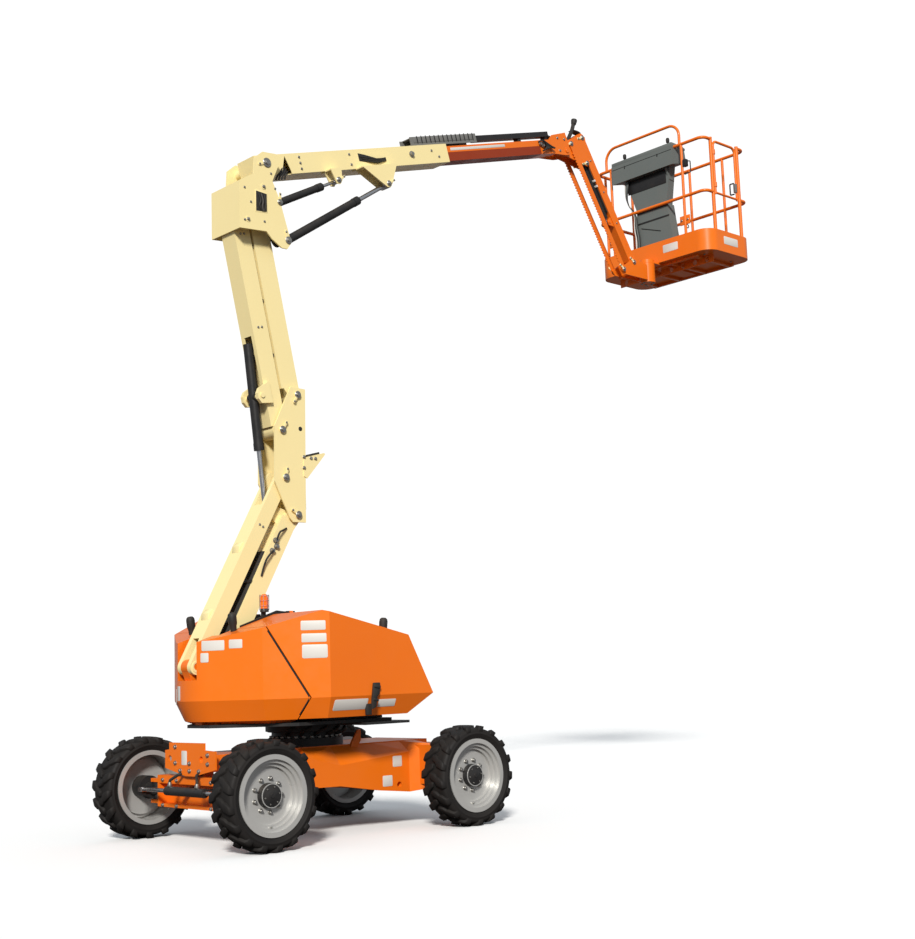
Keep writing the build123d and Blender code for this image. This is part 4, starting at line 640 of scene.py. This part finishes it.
# Engine bay ---------------------
# A ribbed block with a rocker cover, air cleaner and filters beside the near hood; a tank with a
# filler cap under the far one. They show when the hoods are open.
ENGINE_X, ENGINE_Y = -0.04, -0.49
TANK_X, TANK_Y = -0.035, 0.495
fins = repeated(brick((0.012, 0.385, 0.3), 0.002), 14, offset=(0.04, 0, 0))
engine = [(brick((0.56, 0.36, 0.3), 0.02), move(ENGINE_X, ENGINE_Y, 1.045), IRON),
          (fins, move(ENGINE_X - 0.26, ENGINE_Y, 1.045), IRON),
          (brick((0.5, 0.2, 0.085), 0.02), move(ENGINE_X, ENGINE_Y + 0.03, 1.245), BLACK),
          (brick((0.58, 0.37, 0.02), 0.006), move(ENGINE_X, ENGINE_Y, 0.892), BLACK),
          (lathe([(0.0, -0.17), (0.08, -0.17), (0.088, -0.155), (0.088, 0.155), (0.08, 0.17), (0.0, 0.17)],
                 32), move(ENGINE_X + 0.1, ENGINE_Y - 0.03, 1.29) @ rotate(pi / 2, "Z"), BLACK)]
for dx in (-0.16, -0.05):
    engine.append((lathe([(0.0, -0.09), (0.04, -0.09), (0.045, -0.08), (0.045, 0.0), (0.03, 0.0)], 24),
                   aim((ENGINE_X + dx, ENGINE_Y - 0.185, 0.99), TO_NEAR), ORANGE))
for k in range(5):
    engine.append(hose([(ENGINE_X + x + step * k, ENGINE_Y + y, z) for x, step, y, z in (
        (-0.22, 0.09, 0.1, 1.28), (-0.22, 0.1, 0.15, 1.33), (-0.24, 0.1, 0.18, 1.12),
        (-0.25, 0.1, 0.185, 0.93))], 0.009))
engine = assemble("engine_dressing", "turntable", engine)
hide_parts("engine_block")
tank = [(brick((0.52, 0.32, 0.36), 0.05), move(TANK_X, TANK_Y, 1.064), BLACK),
        (lathe([(0.0, -0.03), (0.04, -0.03), (0.044, -0.022), (0.044, 0.0), (0.0, 0.0)], 28),
         aim((0.12, 0.49, 1.244), UP), RUBBER)]
for dx in (-0.17, 0.1):
    tank.append((brick((0.035, 0.325, 0.365), 0.004), move(TANK_X + dx, TANK_Y, 1.064), ZINC))
tank = assemble("tank_dressing", "turntable", tank)
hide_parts("fuel_tank")

# Tower fasteners ----------------
# Each pin ends in a washer, a bolt head and a keeper. Bolt pairs, collars and gusset tabs lie on
# the arms, valves on the lower link and strapped hose runs on both links.


def pin_head(x, z, y, radius, keeper):
    """The end of a pin seen from the near side, with its keeper plate and bolt at an angle."""
    disc = lathe([(0.0, -0.006), (radius - 0.003, -0.006), (radius, -0.003), (radius, 0.001), (0.0, 0.001)],
                 28)
    plate = prism([(-0.014, -0.012), (0.062, -0.01), (0.062, 0.01), (-0.014, 0.012)], 0.006)
    a = radians(keeper)
    start = radius * 0.7
    return [(disc, move(x, y, z), ZINC), (hex_head(radius * 0.9, 0.01), move(x, y - 0.006, z), ZINC),
            (plate, move(x + start * cos(a), y - 0.001, z + start * sin(a)) @ rotate(-a), CREAM),
            (hex_head(0.013, 0.008),
             move(x + (start + 0.048) * cos(a), y - 0.004, z + (start + 0.048) * sin(a)), ZINC)]


upright = []
for x, z, keeper in ((-0.27, 3.197, 60), (-0.116, 3.5, -120), (-0.126, 2.512, 150), (-0.243, 2.81, 80)):
    upright += pin_head(x, z, -0.136, 0.03, keeper)
upright += bolts_at(((-0.06, 2.9), (-0.06, 2.99), (0.01, 2.985), (0.055, 2.985)), 0.02, 0.012, -0.1285)
upright.append((lathe([(0.0, -0.0015), (0.017, -0.0015), (0.019, 0.0), (0.0, 0.0)], 20),
                move(-0.085, -0.12, 3.22), RUBBER))
assemble("upright_pins", "mid_upright", both_sides(upright))
assemble("boom_rest_pad", "mid_upright",
         [(brick((0.13, 0.2, 0.018), 0.004), move(0.058, 0, 3.024) @ rotate(-0.26), RUBBER)])
LOWER_ARM, UPPER_ARM = ((-1.06, 1.315), (-0.243, 2.81)), ((-0.27, 3.197), (-0.628, 4.87))
LOWER_LINK, UPPER_LINK = ((-0.943, 1.017), (-0.126, 2.512)), ((-0.116, 3.5), (-0.474, 5.173))
ARM_SIDE = -0.09


def along_arm(arm, distance, across, y=0.0):
    """A point at a distance along an arm from its first pin, across to its left and out to y."""
    (x0, z0), (x1, z1) = arm
    run = Vector((x1 - x0, 0, z1 - z0)).normalized()
    return Vector((x0, y, z0)) + run * distance + Vector((-run.z, 0, run.x)) * across


for name, arm, gussets, pairs, eyes in (("lower_arm", LOWER_ARM, (0.42, 1.02), (0.2, 1.25), LOWER_ARM[:1]),
                                        ("upper_arm", UPPER_ARM, (), (0.85, 1.62), UPPER_ARM)):
    lean = atan2(arm[1][1] - arm[0][1], arm[1][0] - arm[0][0])
    tabs = [(prism([(-0.05, 0.0), (0.05, 0.0), (0.0, 0.022)], 0.1, 0.002),
             Matrix.Translation(along_arm(arm, distance, 0.06)) @ rotate(-lean), CREAM)
            for distance in gussets]
    bolts = [(hex_head(0.014, 0.008), Matrix.Translation(along_arm(arm, distance, shift, ARM_SIDE)), ZINC)
             for distance in pairs for shift in (-0.018, 0.018)]
    bolts += [(lathe([(0.03, -0.004), (0.044, -0.004), (0.046, 0.0), (0.03, 0.0)], 28), move(x, ARM_SIDE, z),
               CREAM) for x, z in eyes]
    assemble(name + "_tabs", name, tabs + both_sides(bolts))
valves = [(lathe([(0.0, -0.028), (0.016, -0.026), (0.018, -0.008), (0.024, -0.006), (0.024, 0.0)], 16),
           Matrix.Translation(along_arm(LOWER_LINK, distance, across, ARM_SIDE)), ZINC)
          for distance, across in ((1.33, 0.065), (1.42, 0.075), (1.38, 0.045))]
for route in (((1.33, 0.065, -0.112), (1.26, 0.1, -0.13), (1.18, 0.09, -0.112), (1.1, 0.06, -0.094)),
              ((1.42, 0.075, -0.112), (1.48, 0.1, -0.135), (1.52, 0.06, -0.112), (1.56, 0.03, -0.094))):
    valves.append(hose([along_arm(LOWER_LINK, *spot) for spot in route], 0.008))
assemble("lower_link_valves", "lower_link", valves)


def hose_run(name, body, arm, hoses, waves, stops, straps, strap_y, strap_size, lean):
    """Waving hoses along an arm, from rows of y and height, with leaning straps over them."""
    parts = []
    for k, (y, height) in enumerate(hoses):
        line = [along_arm(arm, d, height + 0.004 * sin(d * waves[0] + k), y + waves[1] * sin(d * 6 + 2 * k))
                for d in stops]
        parts.append(hose(line, 0.01))
    for d in straps:
        place = Matrix.Translation(along_arm(arm, d, hoses[1][1], strap_y)) @ rotate(-radians(lean))
        parts.append((brick(strap_size, 0.004), place, BLACK))
    assemble(name, body, parts)


hose_run("lower_hose_run", "lower_link", LOWER_LINK,
         ((-0.062, 0.11), (-0.04, 0.112), (-0.016, 0.11), (0.01, 0.112), (0.036, 0.111)), (9, 0.004),
         (0.2, 0.42, 0.64, 0.86, 1.08, 1.3), (0.3, 0.66, 1.02), -0.013, (0.03, 0.135, 0.034), 61.3)
hose_run("upper_hose_run", "upper_link", UPPER_LINK, [(y, 0.128) for y in (-0.05, -0.026, 0.0, 0.026)],
         (8, 0.0), (0.2, 0.45, 0.75, 1.05, 1.3, 1.52), (0.35, 0.8, 1.25), -0.012, (0.03, 0.125, 0.03), 102)

# Tower top ----------------------
# Pins with keepers, small bolts, an access window shown as a dark sheet of painted shade with hoses
# before it, and the hoses from the arms at both sides.
TOP_FACE = -0.2055
top = []
for x, z, radius, keeper in ((-0.44, 5.385, 0.04, 200), (-0.314, 5.075, 0.026, 90),
                             (-0.235, 4.766, 0.032, 110)):
    top += pin_head(x, z, TOP_FACE - 0.003, radius, keeper)
top += bolts_at(((-0.628, 4.87), (-0.474, 5.173)), 0.0196, 0.012, TOP_FACE - 0.003)
top += bolts_at(((-0.66, 5.13), (-0.6, 5.02), (-0.4, 5.3), (-0.36, 5.18), (-0.66, 4.86), (-0.47, 4.88)),
                0.014, 0.008, TOP_FACE)
# The window is a thin dark sheet in a cream rim: painted shade in place of the opening's shaded inside.
WINDOW_X, WINDOW_Z = -0.49, 5.04
window = [(-0.06, -0.085), (0.045, -0.075), (0.045, 0.075), (-0.06, 0.085)]
rim = [(x * 1.14, z * 1.12) for x, z in window]
top += [(prism(window, 0.003, 0.0006), move(WINDOW_X, TOP_FACE - 0.0005, WINDOW_Z), RUBBER),
        (prism(rim, 0.002, 0.0006), move(WINDOW_X, TOP_FACE - 0.0002, WINDOW_Z), CREAM)]
for k, tone in enumerate((RUBBER, IRON, RUBBER)):
    top.append(hose([(-0.53 + 0.03 * k, -0.209, 5.105), (-0.5 + 0.02 * k, -0.214, 5.05),
                     (-0.53 + 0.035 * k, -0.212, 5.0), (-0.49 + 0.01 * k, -0.209, 4.965)], 0.007, HERE, tone))
assemble("tower_top_fittings", "tower_top", both_sides(top))
bundle = []
for k, y in enumerate((-0.176, -0.149, -0.122)):
    bundle.append(hose([(-0.42, y, 4.9), (-0.38 + 0.01 * k, y, 4.8), (-0.31, y, 4.745 - 0.012 * k),
                        (-0.265, y, 4.735), (-0.25, y, 4.8)], 0.013))
assemble("tower_top_hoses", "tower_top", both_sides(bundle))

# Main boom ----------------------
# Bolts, pins, a long access hole shown as a dark sheet of painted shade, and hoses on the base boom, the
# cable chain's links on the sides of its channel, and the fly's orange box with painted shade in deep red
# on its lower faces, a white stripe and hoses at its head.
BOOM = move(-0.44, 0, 5.385) @ rotate(-radians(16))
BOOM_FACE = -0.118
frame["nodes"]["cable_channel"].material_slots[0].material = CHAIN
boom = bolts_at(((0.42, 0.05), (0.42, 0.0), (0.42, -0.05), (0.98, 0.045), (0.98, -0.045), (1.98, 0.03),
                 (2.06, -0.03), (0.12, 0.05), (0.06, 0.03)), 0.016, 0.009, BOOM_FACE, BOOM)
# The access hole is a thin dark sheet on the boom's face: painted shade in place of the opening's shaded
# inside.
slit = [(-0.11, 0.05), (-0.04, 0.035), (0.2, -0.035), (0.1, -0.055), (-0.05, -0.03), (-0.11, -0.02)]
boom.append((prism(slit, 0.004, 0.0008), BOOM @ move(1.19, BOOM_FACE, 0.0), RUBBER))
boom += [hose([(1.09 + 0.02 * k, BOOM_FACE, 0.02 - 0.018 * k), (1.19, -0.128, 0.0 - 0.016 * k),
               (1.29, -0.135, -0.022 - 0.012 * k), (1.39, -0.12, -0.01 - 0.01 * k)], 0.008, BOOM)
         for k in range(3)]
boom += [hose([(0.24 + 0.012 * k, -0.1, -0.02 * k), (0.2 + 0.01 * k, -0.122, -0.06 - 0.01 * k),
               (0.13 + 0.03 * k, -0.128, -0.1), (0.12 + 0.03 * k, BOOM_FACE, -0.13)], 0.008, BOOM)
         for k in range(4)]
boom.append((lathe([(0.0, -0.026), (0.018, -0.024), (0.02, -0.01), (0.028, -0.008), (0.028, 0.0)], 18),
             BOOM @ move(1.72, BOOM_FACE, 0.01), ZINC))
for x, z, y in ((1.2845, -0.255, -0.205), (0.729, -0.186, -0.197)):
    boom += [(mesh, BOOM @ place, material) for mesh, place, material in pin_head(x, z, y, 0.026, 20)]
assemble("boom_fittings", "base_boom", boom)
CHAIN_LINKS, CHAIN_PITCH = 14, 0.056
links = []
for y in (-0.1055, 0.0435):
    for size, width, x, tone in (((0.04, 0.004, 0.056), 0.0015, 1.82, CHAIN),
                                 ((0.01, 0.003, 0.07), 0.001, 1.848, BLACK)):
        row = repeated(brick(size, width), CHAIN_LINKS, offset=(CHAIN_PITCH, 0, 0))
        links.append((row, BOOM @ move(x, y, 0.142), tone))
assemble("cable_chain", "base_boom", links)
tray = [hose([(3.56, y, 0.15), (3.6, y, 0.15), (3.66, y, 0.14), (3.74, y - 0.02, 0.09)], 0.01, BOOM)
        for y in (-0.05, -0.03, -0.01)]
assemble("fly_hoses", "fly_boom", tray)
FLY_MIDDLE, FLY_BOX_END, PAINTED_SHADE_TOP = 2.95, 3.52, 0.012
fly = bmesh.new()
fly.from_mesh(frame["nodes"]["fly_boom"].data)
fly.transform(BOOM.inverted())
for at, axis in (((FLY_BOX_END, 0, 0), TO_BASKET), ((0, 0, PAINTED_SHADE_TOP), UP), ((FLY_MIDDLE, 0, 0), TO_BASKET)):
    everything = fly.verts[:] + fly.edges[:] + fly.faces[:]
    bmesh.ops.bisect_plane(fly, geom=everything, dist=1e-5, plane_co=at, plane_no=axis)
# The fly's box faces below a level line near its top, short of the box's end, are painted deep red as shade;
# the rest stays orange.
for face in fly.faces:
    spot = face.calc_center_median()
    face.material_index = int(spot.x < FLY_BOX_END and spot.z < PAINTED_SHADE_TOP)
    face.smooth = False
shape = bpy.data.meshes.new("fly_box")
fly.transform(BOOM)
fly.to_mesh(shape)
fly.free()
for tone in (ORANGE, PAINTED_SHADE):
    shape.materials.append(tone)
fly_box = bpy.data.objects.new("fly_box", shape)
show(fly_box)
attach(fly_box, "fly_boom")
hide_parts("fly_boom")
stripe = [(prism([(0.0, -0.013), (0.75, -0.013), (0.75, 0.013), (0.0, 0.013)], 0.0014, 0.0003),
           BOOM @ move(2.26, -0.0885, 0.04), PLATE)]
assemble("fly_stripe", "fly_boom", both_sides(stripe))
head = []
for k in range(6):
    x0 = 3.5 + 0.022 * k
    head.append(hose([(x0, -0.097, 0.05 - 0.012 * k), (x0 + 0.06, -0.128, 0.075 - 0.02 * k),
                      (x0 + 0.1, -0.12, -0.03), (x0 + 0.02, -0.112, -0.045 + 0.01 * k)], 0.008, BOOM))
union = lathe([(0.0, -0.024), (0.012, -0.022), (0.014, -0.01), (0.018, -0.008), (0.018, 0.0)], 14)
head += [(union, BOOM @ move(3.52 + 0.035 * k, -0.094, 0.03 - 0.02 * (k % 2)), ZINC) for k in range(4)]
head += bolts_at(((3.8, 0.08), (3.9, 0.06), (3.8, -0.05)), 0.018, 0.01, -0.0925, BOOM)
assemble("fly_head_hoses", "fly_boom", both_sides(head))

# Jib ----------------------------
# Pin heads, the black hose bundle between the bars with its clips, the teeth under the lower
# bars, and the horn where the hoses enter.
JIB_TURN = rotate(radians(58.6))
JIB = move(3.605, 0, 6.62) @ JIB_TURN
JIB_LOW = move(3.42, 0, 6.51) @ JIB_TURN
JIB_PIN_R = 0.026
jib = bolts_at(((0.25, 0.0), (0.6, 0.0), (0.95, 0.0)), 0.014, 0.008, -0.045, JIB)
for k in range(5):
    y = -0.032 + 0.015 * k
    jib.append(hose([(0.1, y, -0.058), (0.35, y, -0.062 - 0.004 * (k % 2)), (0.75, y, -0.06),
                     (0.8, y, -0.058)], 0.0075, JIB))
jib += [(brick((0.022, 0.1, 0.02), 0.003), JIB @ move(x, 0, -0.062), PLATE) for x in (0.45, 0.51)]
jib.append((brick((0.03, 0.094, 0.012), 0.003), JIB @ move(0.14, 0, -0.056), BLACK))
assemble("jib_hoses", "jib_tube", jib)
base_pins = [part for x, z, y in ((3.605, 6.62, -0.062), (3.42, 6.51, -0.076), (3.666, 6.362, -0.062))
             for part in pin_head(x, z, y, JIB_PIN_R, 200)]
assemble("jib_base_pins", "jib_base", both_sides(base_pins))
HORN_Y = -0.03
horn = [hose([(x, HORN_Y, z) for x, z in ((3.36, 6.47), (3.44, 6.6), (3.5, 6.7), (3.52, 6.78))], 0.02),
        (lathe([(0.016, -0.03), (0.03, -0.03), (0.032, -0.02), (0.026, 0.02), (0.016, 0.02)], 20),
         aim((3.522, HORN_Y, 6.775), (0.25, 0, 0.97)), RUBBER)]
for k in range(4):
    y = -0.025 + 0.016 * k
    horn.append(hose([(3.5, y, 6.69), (3.6, y, 6.7 - 0.01 * k), (3.62 + 0.01 * k, y, 6.68)], 0.007))
assemble("jib_hose_horn", "jib_base", horn)
tooth = prism([(-0.013, 0.0), (0.013, 0.0), (0.006, -0.013), (-0.006, -0.013)], 0.008, 0.001)
TOOTH_COUNT, TOOTH_PITCH = 40, 0.0305
many_teeth = repeated(tooth, TOOTH_COUNT, offset=(TOOTH_PITCH, 0, 0))
assemble("jib_link_teeth", "jib_links",
         [(many_teeth, JIB_LOW @ move(0.1, y, -0.027), ORANGE) for y in (-0.07, 0.07)])
support = [part for x, z, y in ((4.3344, 5.425, -0.062), (4.1494, 5.315, -0.076))
           for part in both_sides(pin_head(x, z, y, JIB_PIN_R, 150))]
ROTATOR_X, ROTATOR_RING = 4.615, 0.062
support += [(hex_head(0.018, 0.01),
             aim((ROTATOR_X + ROTATOR_RING * cos(a), ROTATOR_RING * sin(a), 5.2549), DOWN), ZINC)
            for a in (k * pi / 3 for k in range(6))]
assemble("jib_end_pins", "platform_support", support)

# Platform -----------------------
# Floor grating on cross bars, the console's lid, plates, cables, sticks and switches, then the
# fittings on the rails, the foot switch and the gate's latch.
CONSOLE_BACK = 4.757  # X of the console's back plate and the bars below it
GRATING_PITCH, BEAM_Z = 0.038, 5.4655
slats = repeated(brick((0.004, 1.24, 0.005), 0.001), 14, offset=(GRATING_PITCH, 0, 0))
wires = repeated(brick((0.51, 0.004, 0.003), 0.001), 33, offset=(0, GRATING_PITCH, 0))
floor = [(slats, move(4.905, 0, 5.5275), ORANGE), (wires, move(5.152, -0.61, 5.527), ORANGE)]
floor += [(brick((0.6, 0.035, 0.03), 0.004), move(5.1, y, BEAM_Z), ORANGE) for y in (-0.5, -0.18, 0.18, 0.5)]
floor += [(brick((0.03, 1.1, 0.03), 0.004), move(x, 0, BEAM_Z), ORANGE) for x in (4.8, 5.4)]
floor += [(hex_head(0.018, 0.01), aim((x, y, 5.48), DOWN), ZINC)
          for y in (-0.58, 0.58) for x in (4.86, 5.32)]
assemble("floor_grating", "platform", floor)
lid = prism([(-0.118, -0.012), (0.118, -0.012), (0.118, 0.01), (0.06, 0.03), (-0.118, 0.034)], 0.846, 0.005)
console = [(lid, move(4.809, 0.065, 6.712), GREY),
           (brick((0.004, 0.835, 0.006), 0.001), move(4.69, 0.065, 6.664), BLACK)]
console += [(brick((0.008, 0.01, 0.03), 0.002), move(4.688, y, 6.655), BLACK) for y in (-0.16, 0.3)]
console.append((brick((0.01, 0.53, 0.155), 0.003), move(CONSOLE_BACK, 0.055, 6.425), BLACK))
console += [(prism([(-0.03, 0.0), (0.1, 0.0), (0.1, -0.13), (0.02, -0.12)], 0.024, 0.004),
             move(4.755, y, 6.5), GREY) for y in (-0.235, 0.335)]
console += [(brick((0.007, width, 0.018), 0.002), move(CONSOLE_BACK, 0.0, z), BLACK)
            for z, width in ((6.105, 0.43), (5.985, 0.45))]
for one, two in (((4.755, 0.16, 5.93), (4.755, -0.1, 5.84)), ((4.755, 0.12, 5.7), (4.755, -0.18, 5.6))):
    console.append(hose([one, [(a + b) / 2 for a, b in zip(one, two)], two], 0.0035, HERE, BLACK))
stick = lathe([(0.0, -0.105), (0.014, -0.103), (0.02, -0.09), (0.018, -0.055), (0.009, -0.045),
               (0.009, -0.018), (0.024, -0.008), (0.03, 0.0), (0.0, 0.0)], 20)
console += [(stick, aim((4.785, y, 6.742), UP), RUBBER) for y in (-0.24, 0.37)]
button = lathe([(0.0, -0.024), (0.012, -0.024), (0.016, -0.02), (0.016, -0.01), (0.02, -0.008), (0.02, 0.0),
                (0.0, 0.0)], 18)
console += [(button, aim((4.775 + 0.04 * (k % 2), -0.14 + 0.07 * k, 6.743), UP), AMBER if k == 2 else BLACK)
            for k in range(6)]
toggle = lathe([(0.0, -0.03), (0.004, -0.029), (0.003, -0.01), (0.009, -0.006), (0.009, 0.0), (0.0, 0.0)], 12)
console.append((repeated(toggle, 8, offset=(0.034, 0, 0)), aim((4.858, -0.08, 6.74), UP, pi / 2), ZINC))
for k, tone in enumerate((PLATE, RUBBER, GREY, RUBBER)):
    y = 0.345 - 0.016 * k
    console.append(hose([(4.745, y, 6.5), (4.738 - 0.006 * k, y + 0.01, 6.38),
                         (4.735, y - 0.03 + 0.02 * k, 6.24), (4.738, y - 0.12 + 0.01 * k, 6.1),
                         (4.735, y - 0.1, 5.94), (4.742, y - 0.13, 5.78), (4.745, y - 0.1, 5.62)], 0.008,
                        HERE, tone))
cap = lathe([(0.0, -0.006), (0.008, -0.006), (0.01, 0.0), (0.0, 0.0)], 12)
console += [(cap, aim((CONSOLE_BACK, 0.04 - 0.05 * (k % 3), 5.7 - 0.05 * (k // 3)), TO_TAIL), BLACK)
            for k in range(5)]
assemble("console_fittings", "platform", console)
LANYARD_Y = (-0.45, 0.54)
rails = []
for y in LANYARD_Y:
    rails.append((brick((0.014, 0.13, 0.1), 0.004), move(4.736, y, 5.86), ORANGE))
    for dy in (-0.04, 0.04):
        rails.append((hex_head(0.018, 0.01), aim((4.729, y + dy, 5.86), TO_TAIL), ZINC))
EYE_R, EYE_WIRE = 0.018, 0.005
eye = lathe([(EYE_R + EYE_WIRE * cos(a), EYE_WIRE * sin(a)) for a in (k * pi / 4 for k in range(8))], 20,
            closed=True)
rails += [(eye, move(4.772, y, 5.8), ZINC) for y in LANYARD_Y]
rail_cable = [(4.745, -0.5, 6.5), (4.775, -0.53, 6.5), (4.775, -0.53, 6.38), (4.745, -0.47, 6.36)]
rails += [(pipe_run(rail_cable, 0.006, 0.02), HERE, RUBBER),
          (brick((0.045, 0.05, 0.08), 0.008), move(4.742, -0.49, 6.48), BLACK),
          (brick((0.16, 0.1, 0.05), 0.012), move(5.06, 0.1, 5.555), BLACK),
          (brick((0.13, 0.075, 0.022), 0.008), move(5.06, 0.1, 5.59) @ rotate(0.15), RUBBER)]
assemble("rail_fittings", "platform", rails)
handle = [(5.262, -0.722, 6.18), (5.255, -0.675, 6.18), (5.255, -0.675, 6.3), (5.262, -0.722, 6.3)]
gate = [(pipe_run(handle, 0.008, 0.03), HERE, BLACK),
        (brick((0.035, 0.03, 0.1), 0.006), move(5.262, -0.737, 6.24), ZINC)]
assemble("gate_latch", "gate", gate)

# Studio -------------------------
# A floor that looks white, a pale sky, and a soft sun behind the camera. The camera stands low on
# the near side, ahead of the front axle, and looks a little upwards.
scene.view_settings.view_transform = "Standard"
world = bpy.data.worlds.new("studio")
scene.world = world
world.use_nodes = True
sky = world.node_tree
for socket, value in (("Color", (0.86, 0.93, 1.0, 1.0)), ("Strength", 0.46)):
    sky.nodes["Background"].inputs[socket].default_value = value
backdrop = add(sky, "ShaderNodeBackground", {"Color": (1.0, 1.0, 1.0, 1.0), "Strength": 1.05})
seen, blend = add(sky, "ShaderNodeLightPath"), add(sky, "ShaderNodeMixShader")
join(sky, (seen, "Is Camera Ray", blend, "Fac"), (sky.nodes["Background"], 0, blend, 1),
     (backdrop, 0, blend, 2), (blend, 0, sky.nodes["World Output"], "Surface"))
bm = bmesh.new()
bmesh.ops.create_grid(bm, x_segments=1, y_segments=1, size=60.0)
floor_piece = bpy.data.objects.new("studio_floor", from_bmesh(bm))
show(floor_piece)
pale = bpy.data.materials.new("studio_floor")
pale.use_nodes = True
shader = pale.node_tree.nodes["Principled BSDF"]
shader.inputs["Roughness"].default_value = 1.0
shader.inputs["Specular IOR Level"].default_value = 0.0
bounce = add(pale.node_tree, "ShaderNodeMix", {"A": (0.14, 0.125, 0.12, 1.0), "B": (1.0, 1.0, 1.0, 1.0)},
             data_type="RGBA")
direct = add(pale.node_tree, "ShaderNodeLightPath")
join(pale.node_tree, (direct, "Is Camera Ray", bounce, "Factor"), (bounce, "Result", shader, "Base Color"))
floor_piece.data.materials.append(pale)
key = bpy.data.lights.new("key", "SUN")
key.energy = 4.0
key.angle = radians(9)
key.color = (1.0, 0.97, 0.92)
key_holder = bpy.data.objects.new("key", key)
key_holder.rotation_euler = Vector((-0.62, -0.64, 0.5)).to_track_quat("Z", "Y").to_euler()
show(key_holder)

yaw, pitch, roll = (radians(a) for a in (47.305, 8.23, -1.93))
forward = Vector((cos(yaw) * cos(pitch), sin(yaw) * cos(pitch), sin(pitch)))
level = Vector((sin(yaw), -cos(yaw), 0))
upward = level.cross(forward)
across = cos(roll) * level + sin(roll) * upward
above = -sin(roll) * level + cos(roll) * upward
lens_data = bpy.data.cameras.new("camera")
lens_data.sensor_width = 36.0
lens_data.lens = 53.794
lens_data.clip_end = 200.0
camera = bpy.data.objects.new("camera", lens_data)
camera.matrix_world = move(-6.808, -9.283, 1.208) @ Matrix((across, above, -forward)).transposed().to_4x4()
show(camera)
scene.camera = camera
